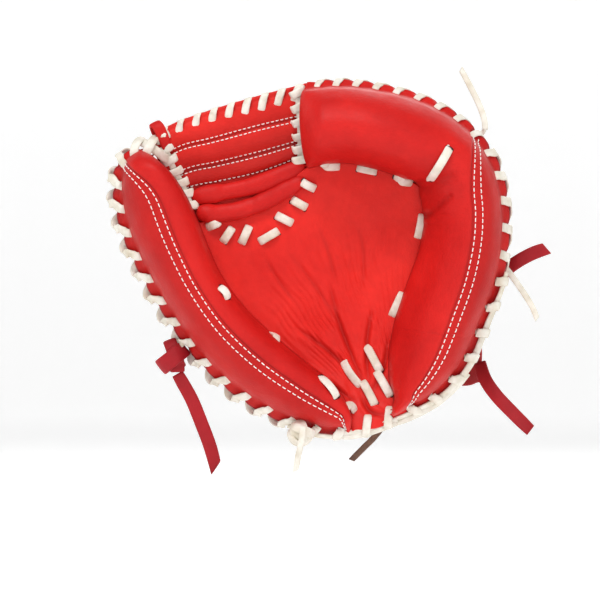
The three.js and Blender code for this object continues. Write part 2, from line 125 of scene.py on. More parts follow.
# ------------------------------------------------------------------ curves and surfaces
def ring_faces(count, sides, first=0):
    """Four-sided faces between rings of points that follow one another."""
    faces = []
    for i in range(count - 1):
        low = first + i * sides
        for j in range(sides):
            k = (j + 1) % sides
            faces.append((low + j, low + k, low + sides + k, low + sides + j))
    return faces


def capped_rings(count, sides):
    """The faces of a closed tube of rings, with flat ends."""
    last = (count - 1) * sides
    return ring_faces(count, sides) + [tuple(range(sides))[::-1], tuple(last + j for j in range(sides))]


def lengths(path):
    """The length run from the start of a path to each of its points."""
    return np.concatenate([[0], np.cumsum(np.linalg.norm(np.diff(path, axis=0), axis=1))])


def picked(at, run, table):
    """The rows of a table at given places along its run."""
    return np.stack([np.interp(at, run, column) for column in table.T], -1)


def smooth(points, t, paired=False):
    """A smooth curve through points of shape (n, ..., 3) at t from 0 to 1.

    With paired, points are (n, k, 3) and t is (k,): one place on each of k curves."""
    points = np.asarray(points, float)
    t = np.asarray(t, float)
    n = len(points)
    flat = points.reshape(n, -1, points.shape[-1])
    steps = np.linalg.norm(np.diff(flat, axis=0), axis=-1).mean(1) ** 0.5 + 1e-9
    knots = np.concatenate([[0], np.cumsum(steps)])
    shape = (-1,) + (1,) * (points.ndim - 1)
    wide = steps.reshape(shape)
    slopes = np.diff(points, axis=0) / wide
    tangents = np.empty_like(points)
    tangents[1:-1] = (slopes[:-1] * wide[1:] + slopes[1:] * wide[:-1]) / (wide[:-1] + wide[1:])
    tangents[0] = slopes[0] if n == 2 else 1.5 * slopes[0] - 0.5 * tangents[1]
    tangents[-1] = slopes[-1] if n == 2 else 1.5 * slopes[-1] - 0.5 * tangents[-2]
    x = np.clip(t, 0, 1) * knots[-1]
    i = np.clip(np.searchsorted(knots, x, "right") - 1, 0, n - 2)
    s = (x - knots[i]) / steps[i]
    h = steps[i]
    if paired:
        k = np.arange(len(t))
        a, b, ta, tb = points[i, k], points[i + 1, k], tangents[i, k], tangents[i + 1, k]
        s, h = s[:, None], h[:, None]
    else:
        a, b, ta, tb = points[i], points[i + 1], tangents[i], tangents[i + 1]
        grow = (-1,) + (1,) * (points.ndim - 1)
        s, h = s.reshape(grow), h.reshape(grow)
    s2, s3 = s * s, s * s * s
    return ((2 * s3 - 3 * s2 + 1) * a + (s3 - 2 * s2 + s) * h * ta
            + (3 * s2 - 2 * s3) * b + (s3 - s2) * h * tb)


def even(points, count):
    """count places spaced evenly along the smooth curve through points."""
    dense = smooth(points, np.linspace(0, 1, 600))
    run = lengths(dense)
    return picked(np.linspace(0, run[-1], count), run, dense)


def values(knots):
    """A value that runs smoothly through evenly spaced knots."""
    points = np.stack([np.linspace(0, 1, len(knots)), knots], -1)
    dense = smooth(points, np.linspace(0, 1, 400))
    return lambda u: np.interp(u, dense[:, 0], dense[:, 1])


def from_sides(across, along, wide=1.0, tall=1.0):
    """How far each place of a grid is from its nearest side, in shares of the widths given."""
    a, b = (np.minimum(k - k[0], k[-1] - k) / width for k, width in ((across, wide), (along, tall)))
    return np.minimum(a[:, None], b[None, :])


def unit(vectors):
    return vectors / np.maximum(np.linalg.norm(vectors, axis=-1, keepdims=True), 1e-9)


class Surface:
    """A surface through rails: rails(u) gives its control points, (rails, len(u), 3)."""

    def __init__(self, rails, out):
        self.rails = rails
        self.out = np.array(out, float)

    def grid(self, u, v):
        return smooth(self.rails(np.asarray(u, float)), v).transpose(1, 0, 2)

    def at(self, u, v):
        u, v = np.broadcast_arrays(np.atleast_1d(np.asarray(u, float)), np.asarray(v, float))
        return smooth(self.rails(u), v, paired=True)

    def normal(self, u, v):
        u, v = np.broadcast_arrays(np.atleast_1d(np.asarray(u, float)), np.asarray(v, float))
        e = 0.004
        du = self.at(np.clip(u + e, 0, 1), v) - self.at(np.clip(u - e, 0, 1), v)
        dv = self.at(u, np.clip(v + e, 0, 1)) - self.at(u, np.clip(v - e, 0, 1))
        n = unit(np.cross(du, dv))
        return n * (1 if (n @ self.out).sum() > 0 else -1)


def through(*rails):
    """A surface through rails given as point lists of equal length."""
    points = np.array(rails, float).transpose(1, 0, 2)
    return lambda u: smooth(points, u).transpose(1, 0, 2)


def grid_normals(grid, out):
    n = unit(np.cross(np.gradient(grid, axis=0), np.gradient(grid, axis=1)))
    return n * (1 if (n.reshape(-1, 3) @ np.array(out, float)).sum() > 0 else -1)


# ------------------------------------------------------------------ free tails of lace and tie
TAIL_LACE, TIE = (4.4, 1.8), (9.5, 2.4)      # width and thickness, mm
# name, body, material, size, slant of the cut end, and the route in metres
TAILS = [
    ("heel_lace_tail", THUMB, "cream_lace", TAIL_LACE, 0.5, [
        (-0.019, -0.0193, 0.010), (-0.0195, -0.020, 0.003), (-0.021, -0.019, -0.005),
        (-0.0225, -0.017, -0.012), (-0.024, -0.0145, -0.021)]),
    ("tie_tail", THUMB, "red_tie", TIE, 0.8, [
        (-0.107, 0.004, 0.046), (-0.103, 0.004, 0.039), (-0.097, 0.004, 0.028), (-0.090, 0.003, 0.011),
        (-0.084, 0.002, -0.005), (-0.080, 0.002, -0.020)]),
    ("strap_tie_lower", FINGER, "red_tie", TIE, 0.15, [
        (0.107, 0.033, 0.053), (0.110, 0.026, 0.042), (0.117, 0.019, 0.031), (0.128, 0.013, 0.019),
        (0.141, 0.008, 0.006)]),
    ("strap_tie_upper", FINGER, "red_tie", TIE, 0.4, [
        (0.111, 0.043, 0.106), (0.121, 0.031, 0.115), (0.130, 0.020, 0.123), (0.142, 0.016, 0.130),
        (0.153, 0.014, 0.134)]),
    ("lace_tail_side", FINGER, "cream_lace", TAIL_LACE, 0.6, [
        (0.124, 0.011, 0.120), (0.130, 0.012, 0.112), (0.137, 0.013, 0.102), (0.143, 0.013, 0.092),
        (0.146, 0.012, 0.084)]),
    ("lace_tail_top", FINGER, "cream_lace", TAIL_LACE, 0.5, [
        (0.109, 0.004, 0.217), (0.108, 0.007, 0.226), (0.104, 0.009, 0.237), (0.098, 0.009, 0.249),
        (0.092, 0.008, 0.260)]),
    ("lace_end_heel", FINGER, "undyed_lace", TAIL_LACE, 0.4, [
        (0.038, 0.008, 0.010), (0.031, 0.009, 0.001), (0.024, 0.009, -0.006), (0.015, 0.008, -0.015)]),
]


def make_tails():
    for name, body, material, (width, thickness), slant, route in TAILS:
        path = smooth(np.array(route) / MM, np.linspace(0, 1, 34))
        turn = np.linspace(-0.25, 0.30, 34)
        normals = unit(np.stack([np.sin(turn), -np.cos(turn), 0.15 * np.sin(3 * turn)], -1))
        pile = Pile()
        band(pile, path, normals, width, thickness, 0.92, 14, slant)
        piece = pile.settle(name, material, body, name)
        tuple(route[0])
        lengths(path)[-1] * MM


# ------------------------------------------------------------------ which body each piece goes with
# The soft pieces that cross the fold: the body at each end of the bend, and the two places in metres.
PALM_FOLD = (FINGER, THUMB, (0.024, 0, 0.098), (-0.012, 0, 0.092))
WEB_SIDE = (THUMB, FINGER, (-0.060, 0, 0.205), (-0.014, 0, 0.2124))
STRAP_BEND = (FINGER, THUMB, (0.088, 0, 0.056), (-0.060, 0, 0.056))
HEEL_BEND = (FINGER, THUMB, (0.030, 0, 0.012), (0.010, 0, 0.009))


# Other material names for the slots of pieces of these materials; settle looks them up but sets no slot.
SLOTS = {"thread": "cream_lace", "hole": "deep_red_leather"}


def settle(piece, body, *nodes, slot=None):
    """Put a piece on its body, or bake its place in where it crosses a bend, and hide the nodes it replaces.
    """
    material = piece.data.materials[0].name.split(".")[0]       # without the number Blender may add
    if isinstance(body, tuple):
        near, far, start, end = body
        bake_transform(piece)
        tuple(start)
        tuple(end)
    else:
        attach(piece, body)
    slot or SLOTS.get(material, material)
    if nodes:
        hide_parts(*nodes)
    return piece


# ------------------------------------------------------------------ relief worked into a grid
def value_noise(points, size, seed):
    """Smooth noise from -1 to 1 at points (..., 3), with features of the given size in mm."""
    p = points / np.array(size, float)
    i = np.floor(p).astype(np.int64)
    f = p - i
    f = f * f * (3 - 2 * f)
    total = 0
    for corner in range(8):
        offset = np.array([corner & 1, corner >> 1 & 1, corner >> 2 & 1])
        c = i + offset
        h = (c[..., 0] * 73856093) ^ (c[..., 1] * 19349663) ^ (c[..., 2] * 83492791) ^ (seed * 2654435761)
        h = (h ^ (h >> 13)) * 1274126177
        h = ((h ^ (h >> 16)) & 0xFFFF) / 32767.5 - 1
        w = np.prod(np.where(offset == 1, f, 1 - f), axis=-1)
        total = total + w * h
    return total


def line_distance(points, line):
    """Distance from points (..., 3) to a polyline (k, 3), and how far along it, 0 to 1."""
    flat = points.reshape(-1, 3)
    best = np.full(len(flat), 1e9)
    where = np.zeros(len(flat))
    for k in range(len(line) - 1):
        a, b = line[k], line[k + 1]
        d = b - a
        t = np.clip((flat - a) @ d / max(d @ d, 1e-9), 0, 1)
        gap = np.linalg.norm(flat - a - t[:, None] * d, axis=1)
        near = gap < best
        best[near] = gap[near]
        where[near] = (k + t[near]) / (len(line) - 1)
    return best.reshape(points.shape[:-1]), where.reshape(points.shape[:-1])


# ------------------------------------------------------------------ meshes
def make_object(name, verts, faces, material, attributes=None):
    mesh = bpy.data.meshes.new(name)
    mesh.from_pydata((np.asarray(verts) * MM).tolist(), [], faces)
    mesh.polygons.foreach_set("use_smooth", [True] * len(mesh.polygons))
    for key, data in (attributes or {}).items():
        layer = mesh.attributes.new(key, "FLOAT", "POINT")
        layer.data.foreach_set("value", np.asarray(data, np.float32))
    mesh.update()
    obj = bpy.data.objects.new(name, mesh)
    mesh.materials.append(MATERIALS[material])
    bpy.context.scene.collection.objects.link(obj)
    return obj


class Pile:
    """Collects many small closed shapes into one mesh."""

    def __init__(self):
        self.verts, self.faces, self.count = [], [], 0

    def add(self, verts, faces):
        self.verts.append(np.asarray(verts, float))
        self.faces += [tuple(int(i) + self.count for i in face) for face in faces]
        self.count += len(verts)

    def settle(self, name, material, body, *nodes):
        return settle(make_object(name, np.concatenate(self.verts), self.faces, material), body, *nodes)


def box_of(front, back):
    """The points and faces of a closed solid between two grids of points."""
    n, m = front.shape[:2]
    a = np.arange(n * m).reshape(n, m)
    b = a + n * m
    faces = np.concatenate([
        np.stack([a[:-1, :-1], a[1:, :-1], a[1:, 1:], a[:-1, 1:]], -1).reshape(-1, 4),
        np.stack([b[:-1, :-1], b[:-1, 1:], b[1:, 1:], b[1:, :-1]], -1).reshape(-1, 4),
        np.stack([a[:-1, 0], b[:-1, 0], b[1:, 0], a[1:, 0]], -1),
        np.stack([a[:-1, -1], a[1:, -1], b[1:, -1], b[:-1, -1]], -1),
        np.stack([a[0, :-1], a[0, 1:], b[0, 1:], b[0, :-1]], -1),
        np.stack([a[-1, :-1], b[-1, :-1], b[-1, 1:], a[-1, 1:]], -1),
    ])
    return np.concatenate([front.reshape(-1, 3), back.reshape(-1, 3)]), faces


FRONT_THICK, BACK_THICK, LINING_THICK = 2.2, 2.4, 1.4      # leathers, mm


def shell(name, grid, out, thickness, material, relief=None, crease=None, edge=0.5):
    """A leather sheet of even thickness behind a grid of front points, with softened borders."""
    normals = grid_normals(grid, out)
    front = grid if relief is None else grid + normals * relief[..., None]
    normals = grid_normals(front, out)
    n, m = grid.shape[:2]
    drop = np.zeros((n, m))
    drop[[0, -1], :] = edge
    drop[:, [0, -1]] = edge
    front = front - normals * drop[..., None] * thickness
    back = grid - grid_normals(grid, out) * thickness
    verts, faces = box_of(front, back)
    first = np.cross(front[1, 0] - front[0, 0], front[0, 1] - front[0, 0])
    if first @ normals[0, 0] < 0:
        faces = faces[:, ::-1]
    # Each point's painted shade is kept in a point attribute that darkens the leather's colour.
    shade = np.zeros(n * m) if crease is None else np.clip(crease, 0, 1).reshape(-1)
    return make_object(name, verts, faces.tolist(), material, {"crease": np.concatenate([shade, shade])})


def closed_between(name, front, back, material):
    """A closed solid between two grids, its faces out."""
    verts, faces = box_of(front, back)
    i, j = front.shape[0] // 2, front.shape[1] // 2
    facing = np.cross(front[i + 1, j] - front[i, j], front[i, j + 1] - front[i, j])
    if facing @ (front[i, j] - back[i, j]) < 0:
        faces = faces[:, ::-1]
    return make_object(name, verts, faces.tolist(), material)


def band(pile, path, normals, width, thickness, taper=0.8, sides=10, slant=0.0):
    """A flat lace with a rounded section along a path; its ends are narrowed and closed, the last one cut
    at a slant."""
    count = len(path)
    tangent = unit(np.gradient(path, axis=0))
    across = unit(np.cross(tangent, normals))
    up = unit(np.cross(across, tangent))
    angle = np.linspace(0, 2 * math.pi, sides, endpoint=False)
    cx = np.sign(np.cos(angle)) * np.abs(np.cos(angle)) ** 0.55 * width / 2
    cy = np.sign(np.sin(angle)) * np.abs(np.sin(angle)) ** 0.75 * thickness / 2
    t = np.linspace(0, 1, count)
    scale = 1 - (1 - taper) * np.clip(1 - np.minimum(t, 1 - t) / 0.16, 0, 1) ** 2
    ring = (path[:, None] + across[:, None] * (cx[None, :, None] * scale[:, None, None])
            + up[:, None] * cy[None, :, None])
    ring[-1] += tangent[-1] * (cx * slant)[:, None]
    ring[-2] += tangent[-1] * (cx * slant)[:, None] * 0.5
    pile.add(ring.reshape(-1, 3), capped_rings(count, sides))


def thread_stitch(pile, a, b, normal, radius=0.35):
    """One short raised stitch of thread from a to b on the leather."""
    mid = (a + b) / 2 + normal * 0.35
    path = smooth([a - normal * 0.7, a * 0.8 + b * 0.2 + normal * 0.15, mid, a * 0.2 + b * 0.8
                   + normal * 0.15, b - normal * 0.7], np.linspace(0, 1, 7))
    band(pile, path, np.repeat(normal[None], 7, 0), radius * 2.1, radius * 1.7, 0.7, 6)


def stitch_row(pile, path, normals, pitch=4.1, length=3.0):
    """A row of stitches along a path on the leather."""
    run = lengths(path)
    count = max(1, int(run[-1] / pitch))
    for k in range(count):
        start = (k + 0.15) * run[-1] / count
        thread_stitch(pile, *picked([start, start + length], run, path), unit(picked(start, run, normals)))


# ------------------------------------------------------------------ materials
MATERIALS = {}


class Nodes:
    """A short way to build a node material."""

    def __init__(self, name):
        self.material = bpy.data.materials.new(name)
        self.material.use_nodes = True
        self.tree = self.material.node_tree
        self.shader = self.tree.nodes["Principled BSDF"]
        self.place = self.add("ShaderNodeTexCoord").outputs["Object"]
        MATERIALS[name] = self.material

    def add(self, kind, links=(), **settings):
        node = self.tree.nodes.new(kind)
        for key, value in settings.items():
            if hasattr(node, key):
                setattr(node, key, value)
            else:
                node.inputs[key.replace("_", " ")].default_value = value
        for socket, source in links:
            self.tree.links.new(source, node.inputs[socket])
        return node

    def noise(self, scale, detail=3.0, stretch=None):
        place = self.place
        if stretch:
            place = self.add("ShaderNodeMapping", [("Vector", place)], Scale=stretch).outputs[0]
        return self.add("ShaderNodeTexNoise", [("Vector", place)], Scale=scale, Detail=detail).outputs["Fac"]

    def cells(self, scale):
        return self.add("ShaderNodeTexVoronoi", [("Vector", self.place)], Scale=scale).outputs["Distance"]

    def ramp(self, source, stops):
        node = self.add("ShaderNodeValToRGB", [("Fac", source)])
        for element, (at, color) in zip(node.color_ramp.elements, stops):
            element.position = at
            element.color = (*color, 1)
        return node.outputs["Color"]

    def mix(self, factor, a, b, blend="MIX"):
        node = self.add("ShaderNodeMix", data_type="RGBA", blend_type=blend)
        for socket, value in ((0, factor), (6, a), (7, b)):
            if isinstance(value, bpy.types.NodeSocket):
                self.tree.links.new(value, node.inputs[socket])
            else:
                node.inputs[socket].default_value = value if socket == 0 else (*value, 1)
        return node.outputs[2]

    def bumps(self, *layers):
        """Each layer is (height, distance in metres, strength)."""
        normal = None
        for height, distance, strength in layers:
            links = [("Height", height)] + ([("Normal", normal)] if normal else [])
            normal = self.add("ShaderNodeBump", links, Distance=distance, Strength=strength).outputs["Normal"]
        self.feed("Normal", normal)

    def feed(self, socket, source):
        self.tree.links.new(source, self.shader.inputs[socket])

    def fix(self, **settings):
        for key, value in settings.items():
            self.shader.inputs[key.replace("_", " ")].default_value = value


def leather(name, light, dark, roughness, grain=1.0, wrinkle=0.5, coat=0.1):
    """Oiled cowhide: cloudy colour, painted shade in creases and hollows, pores and fine wrinkles."""
    m = Nodes(name)
    cloud = m.ramp(m.noise(22, 4), [(0.32, dark), (0.68, light)])
    mottle = m.ramp(m.noise(160, 3), [(0.3, (0.80, 0.80, 0.80)), (0.7, (1, 1, 1))])
    color = m.mix(0.35, cloud, mottle, "MULTIPLY")
    # A point attribute darkens the colour towards a deep red: painted shade in creases, grooves, hollows and
    # shaded panels.
    crease = m.add("ShaderNodeAttribute", attribute_name="crease").outputs["Fac"]
    painted_shade_colour = tuple(0.42 * c for c in dark)
    m.feed("Base Color", m.mix(crease, color, painted_shade_colour))
    pores = m.cells(1050)
    fine = m.noise(420, 4)
    lines = m.noise(95, 5, (1.0, 1.0, 0.45))
    m.bumps((lines, 0.0009, wrinkle), (fine, 0.00035, 0.35 * grain), (pores, 0.00016, 0.45 * grain))
    rough = m.ramp(m.noise(60, 4), [(0.3, (roughness - 0.06,) * 3), (0.7, (roughness + 0.08,) * 3)])
    m.feed("Roughness", rough)
    m.fix(Coat_Weight=coat, Coat_Roughness=0.32, Specular_IOR_Level=0.20)


def plain(name, mottle, dark, light, layers, **settings):
    """Two mottled tones.

    Each layer of relief is (scale, detail, distance in metres, strength); detail 0 means cells."""
    m = Nodes(name)
    m.feed("Base Color", m.ramp(m.noise(*mottle), [(0.3, dark), (0.7, light)]))
    m.bumps(*((m.noise(scale, detail) if detail else m.cells(scale), distance, strength)
              for scale, detail, distance, strength in layers))
    m.fix(**settings)


def make_materials():
    leather("red_leather", (0.66, 0.014, 0.011), (0.52, 0.008, 0.007), 0.52, 1.3, 0.38, 0.0)
    leather("palm_leather", (0.82, 0.024, 0.016), (0.67, 0.014, 0.010), 0.50, 1.3, 0.62, 0.0)
    leather("deep_red_leather", (0.46, 0.014, 0.018), (0.33, 0.009, 0.013), 0.48, 1.0, 0.3, 0.05)
    leather("red_tie", (0.42, 0.013, 0.020), (0.27, 0.008, 0.013), 0.55, 1.1, 0.4, 0.02)
    leather("lining_leather", (0.62, 0.40, 0.22), (0.50, 0.30, 0.16), 0.62, 0.9, 0.5, 0.0)

    m = Nodes("cream_lace")
    cloud = m.ramp(m.noise(140, 4), [(0.3, (0.68, 0.63, 0.52)), (0.62, (0.83, 0.80, 0.72))])
    stain = m.ramp(m.noise(55, 3), [(0.25, (0.86, 0.78, 0.64)), (0.5, (1, 1, 1))])
    m.feed("Base Color", m.mix(0.7, cloud, stain, "MULTIPLY"))
    m.bumps((m.noise(380, 4), 0.0005, 0.4), (m.noise(1500, 2), 0.0002, 0.4))
    m.fix(Roughness=0.58, Specular_IOR_Level=0.35)

    # Near-black discs at the ends of the lace stitches: painted shadow in the lace holes.
    plain("hole", (300, 3), (0.035, 0.002, 0.002), (0.09, 0.005, 0.004), [(700, 3, 0.0004, 0.5)],
          Roughness=0.9)
    plain("undyed_lace", (200, 4), (0.10, 0.045, 0.03), (0.20, 0.10, 0.06), [(600, 4, 0.0004, 0.6)],
          Roughness=0.7)
    plain("thread", (900, 2), (0.80, 0.78, 0.74), (0.95, 0.94, 0.91), [(2600, 2, 0.0002, 0.6)], Roughness=0.6)
    plain("felt", (260, 6), (0.50, 0.44, 0.35), (0.70, 0.64, 0.54), [(900, 6, 0.0012, 0.8)],
          Roughness=0.95, Sheen_Weight=0.3)
    plain("fleece", (240, 6), (0.66, 0.62, 0.54), (0.90, 0.88, 0.82),
          [(420, 6, 0.003, 1.0), (700, 0, 0.0012, 0.8)], Roughness=1.0, Sheen_Weight=0.5)


# ------------------------------------------------------------------ the mitt's rails, in mm
# Outer edge and inner base in matching pairs. The thumb's run from the heel to the thumb tip.
THUMB_EDGE = [(14, -3, 4), (-10, -1, 5), (-35, 1, 13), (-66, 1, 31), (-93, 1, 56), (-115, 0, 86),
              (-132, -2, 115), (-145, -4, 144), (-151, -7, 172), (-148, -12, 193), (-135, -14, 204)]
THUMB_BASE = [(14, -8, 15), (8, -2, 29), (-10, 6, 46), (-38, 9, 69), (-62, 10, 92), (-78, 10, 115),
              (-87, 8, 135), (-94, 5, 153), (-103, 0, 172), (-113, -6, 187), (-124, -10, 197)]
# Fingers from the web round the corner and down the little finger to the heel.
OUTER_EDGE = [(-16, -8, 249), (10, -8, 251), (40, -8, 247), (70, -8, 238), (96, -8, 222), (114, -8, 200),
              (123, -6, 174), (125, -4, 146), (121, -2, 114), (110, -1, 82), (96, 0, 52), (76, 0, 30),
              (55, -1, 19), (43, -2, 15)]
OUTER_BASE = [(-16, -4, 191), (8, -1, 195), (30, -1, 191), (48, 0, 185), (61, 2, 177), (66, 5, 165),
              (67, 7, 152), (64, 9, 133), (56, 10, 110), (48, 8, 86), (43, 4, 60), (43, 0, 42),
              (46, -4, 29), (44, -5, 22)]
WEB_TOP = [(-125, -12, 210), (-109, -12, 220), (-88, -11, 228), (-52, -10, 239), (-14, -8, 249)]
WEB_HIGH = [(-119, -3, 192), (-103, -4, 201), (-82, -3, 206), (-48, -2, 215), (-13, -1, 223)]
WEB_LOW = [(-109, 6, 173), (-94, 8, 178), (-78, 10, 181), (-48, 11, 188), (-12, 9, 202)]
WEB_FOOT = [(-99, 9, 154), (-88, 8, 153), (-76, 9, 152), (-50, 10, 159), (-10, 9, 183)]
FOLD = [(18, -8, 7), (15, 3, 35), (11, 10, 62), (6, 13, 92), (1, 14, 125), (-6, 11, 158), (-14, 5, 192)]

UP = np.array([0, -1.0, 0])          # towards the wearer's target: the front of the pocket
BACK_OUT = np.array([0, 1.0, 0])     # out of the back of the hand


def roll_rails(edge, base, height, flange, parts, later=None, turn=lambda u: 0 * u):
    """Control points of a padded roll: a flat flange at the edge, then the roll down to its base.

    parts are (share of the way across, share of the height); they turn into later as turn goes to 1."""
    edge, base = np.array(edge, float), np.array(base, float)
    parts = np.array(parts)
    later = parts if later is None else np.array(later)

    def rails(u):
        e, b = smooth(edge, u), smooth(base, u)
        rise = height(u)[:, None]
        width = np.linalg.norm(b - e, axis=1, keepdims=True)
        start = np.minimum(flange[-1][0] / width, 0.3)
        rows = [e + (b - e) * start * inset / flange[-1][0] + UP * lift for inset, lift in flange]
        w = turn(u)[:, None]
        for first, last in zip(parts, later):
            share, up = ((1 - w) * first[k] + w * last[k] for k in (0, 1))
            rows.append(e + (b - e) * (start + (1 - start) * share) + UP * (flange[-1][1] + rise * up))
        rows.append(b + (b - e) / width - UP * 2.5)
        return np.array(rows)
    return rails


def rounded(body, start, end):
    """A height that falls off in a quarter circle at both ends of the run."""
    def height(u):
        fall = np.ones_like(u)
        if start:
            fall = np.minimum(fall, np.sqrt(np.clip(1 - np.clip(1 - u / start, 0, 0.985) ** 2, 0, 1)))
        if end:
            fall = np.minimum(fall, np.sqrt(np.clip(1 - np.clip(1 - (1 - u) / end, 0, 1) ** 2, 0, 1)))
        return body(u) * fall
    return height


FLANGE = [(0, 0.5), (2.6, 2.8), (5.2, 6.0)]
thumb_height = rounded(values([9, 20, 30, 37, 42, 44, 43, 41, 37, 31, 24]), 0.02, 0.10)
THUMB_ROLL = Surface(roll_rails(THUMB_EDGE, THUMB_BASE, thumb_height, FLANGE, [
    (0.10, 0.40), (0.30, 0.76), (0.58, 0.96), (0.80, 1.0), (0.94, 0.86), (0.99, 0.55), (1.0, 0.10)]), UP)
outer_height = rounded(values([34, 40, 42, 40, 37, 35, 34, 34, 34, 32, 28, 20, 11]), 0.036, 0.02)
OUTER_ROLL = Surface(roll_rails(
    OUTER_EDGE, OUTER_BASE, outer_height, FLANGE,
    [(0.08, 0.40), (0.28, 0.80), (0.52, 1.0), (0.78, 0.92), (0.96, 0.55), (1.0, 0.10)],
    [(0.06, 0.42), (0.20, 0.84), (0.40, 1.0), (0.66, 0.80), (0.86, 0.42), (0.98, 0.12)],
    lambda u: np.clip((u - 0.28) / 0.2, 0, 1)), UP)
WEB = Surface(through(WEB_TOP, WEB_HIGH, WEB_LOW, WEB_FOOT), UP)


# ------------------------------------------------------------------ front of the mitt
PALM_RAILS = [
    even(THUMB_BASE[:8], 7) + (-2, 1, -1),
    [(16, -8, 6), (10, 2, 36), (-4, 9, 60), (-22, 12, 88), (-37, 14, 116), (-48, 12, 140), (-55, 11, 162)],
    np.array(FOLD) + (1, 0, 0),
    [(33, -8, 9), (32, 3, 38), (31, 9, 66), (32, 12, 95), (32, 12, 125), (30, 9, 158), (24, 4, 197)],
    even(OUTER_BASE[4:][::-1], 7) + (2, 1.2, 0),
]
PALM_RAILS[0][0] = (12, -7, 5)
PALM_RAILS[4][0] = (45, -5, 13)
PALM = Surface(through(*PALM_RAILS), UP)

# The two rows of stitching on each roll lie just outside the seam between its outer and inner panels.
THUMB_SEAM, OUTER_SEAM = 0.50, 0.50


# Where the seams hook out to the edge: at the heel, and at the far end.
HEEL_HOOK = 0.1              # the hooks at the heel are shorter than this, and rounder
THUMB_HOOKS, OUTER_HOOKS = ((0.055, 0.010), (0.76, 0.937)), ((0.880, 0.948), (0.52, 0.330))


def turned_out(u, hook):
    """The share of a seam's inset that is left where it turns out to the edge, from hook[0] to hook[1]."""
    near, end = hook
    along = np.clip((u - near) / (end - near), 0, 1)
    power = 3 if abs(end - near) > HEEL_HOOK else 2
    return np.sqrt(np.clip(1 - along ** power, 0, 1)) - 0.5 * (along >= 1)


def thumb_seam(u):
    """Where the thumb's seam runs across the roll: it hooks out to the edge at both ends."""
    return THUMB_SEAM * np.minimum(*(turned_out(u, hook) for hook in THUMB_HOOKS))


def outer_seam(u):
    """The little-finger roll's seam hooks out to the edge at the heel and where the finger pad begins."""
    return OUTER_SEAM * np.minimum(*(turned_out(u, hook) for hook in OUTER_HOOKS))


fronts = []                  # meshes that laces are laid on


def leather_relief(points, seed, fine=0.25, broad=0.6):
    return (fine * value_noise(points, (9, 9, 7), seed) * value_noise(points, (31, 31, 31), seed + 1)
            + broad * value_noise(points, (46, 46, 46), seed + 2))


class Edge:
    """The laced outer edge of a surface, measured along its length, and where its loops of lace are."""

    def __init__(self, surface, pitches, start=5.0, end=5.0):
        self.surface = surface
        self.u = np.linspace(0, 1, 900)
        self.line = surface.at(self.u, 0.0)
        self.run = lengths(self.line)
        self.length = self.run[-1]
        along = unit(np.gradient(self.line, axis=0))
        inner = surface.at(self.u, 0.2) - self.line
        inner -= along * (inner * along).sum(1, keepdims=True)
        inner[:, 1] = 0
        self.inner = unit(inner)
        self.along = along
        self.loops = []
        place = start
        while place < self.length - end:
            self.loops.append(place)
            place += np.interp(place / self.length, np.linspace(0, 1, len(pitches)), pitches)
        self.loops = np.array(self.loops)

    def frame(self, s):
        """The edge's point, inward direction and direction of travel at a length s."""
        point, inner, along = (picked(s, self.run, table) for table in (self.line, self.inner, self.along))
        return point, unit(inner), unit(along)

    def on_front(self, s, inset):
        """The front surface and its normal at an inset from the edge."""
        u = float(np.interp(s, self.run, self.u))
        v = np.linspace(0, 0.4, 60)
        section = self.surface.grid([u], v)[0]
        at = float(np.interp(inset, lengths(section), v))
        return self.surface.at(u, at)[0], self.surface.normal(u, at)[0]

    def nearness(self, run, width):
        gap = np.abs(run[:, None] - self.loops[None, :]).min(1)
        return np.exp(-(gap / width) ** 2)


def pull_edge(grid, v, edge, run, depth=1.9, lift=1.0):
    """The laces pull the edge in, so that it is scalloped between them."""
    fade = np.clip(np.minimum(run, edge.length - run) / 14, 0, 1)
    near = (fade * edge.nearness(run, 3.4))[:, None] * np.exp(-(v / 0.045) ** 2)[None, :]
    inner = picked(run, edge.run, edge.inner)
    return grid + near[..., None] * (depth * inner[:, None] - lift * UP)


# Loops of lace: the pitch in mm along each edge, from its start to its end.
THUMB_LACED = Edge(THUMB_ROLL, [17.5, 18.2, 18.2, 18.0, 15.0], 9, 6)
WEB_LACED = Edge(WEB, [12.4, 12.2], 7, 5)
OUTER_LACED = Edge(OUTER_ROLL, [13.0, 15.5, 16.5, 19.5, 19.5, 18.5, 17.5], 7, 5)


def make_roll(name, surface, edge, seam, seed, body, nodes, count, extra=None, bulge=0.0):
    """The leather of one padded roll, with its seam worked in."""
    u = np.linspace(0, 1, count)
    v = np.linspace(0, 1, 130)
    run = lengths(surface.at(u, 0.0))
    grid = pull_edge(surface.grid(u, v), v, edge, run)
    arch = np.sin(np.pi * np.clip(v * 1.25, 0, 1))
    grid[..., 0] -= bulge * np.exp(-(u / 0.024) ** 2)[:, None] * arch[None, :]
    relief = leather_relief(grid, seed)
    # A step up to the inner panel, with a tight valley beside it. The outer panel, the valley and the foot of
    # the roll get painted shade.
    beside = v[None, :] - seam(u)[:, None]
    steep = 1 + np.minimum(np.abs(np.gradient(seam(u), u))[:, None] / 6, 1.5)
    relief = relief + 1.1 / (1 + np.exp(-beside / (0.0035 * steep)))
    relief = relief - 0.9 * np.exp(-((beside + 0.006) / (0.010 * steep)) ** 2)
    valley = np.exp(-((beside + 0.004) / (0.006 * steep)) ** 2)
    shade = 0.5 * valley + 0.5 * np.exp(-((1 - v) / 0.06) ** 2)[None, :]
    shade = shade + 0.20 / (1 + np.exp((beside + 0.01) / 0.01))
    # Any extra work adds its own relief and painted shade.
    if extra is not None:
        add, dark = extra(grid)
        relief, shade = relief + add, shade + dark
    piece = shell(name, grid, UP, FRONT_THICK, "red_leather", relief, shade)
    fronts.append(settle(piece, body, *nodes))


def stitch_on(pile, front, path, pitch=4.1, length=3.0):
    """A row of stitches where a line seen from the front falls on the leather."""
    found = [front.at(x, z) for x, _, z in path]
    stitch_row(pile, np.array([p for p, _ in found]), np.array([n for _, n in found]), pitch, length)


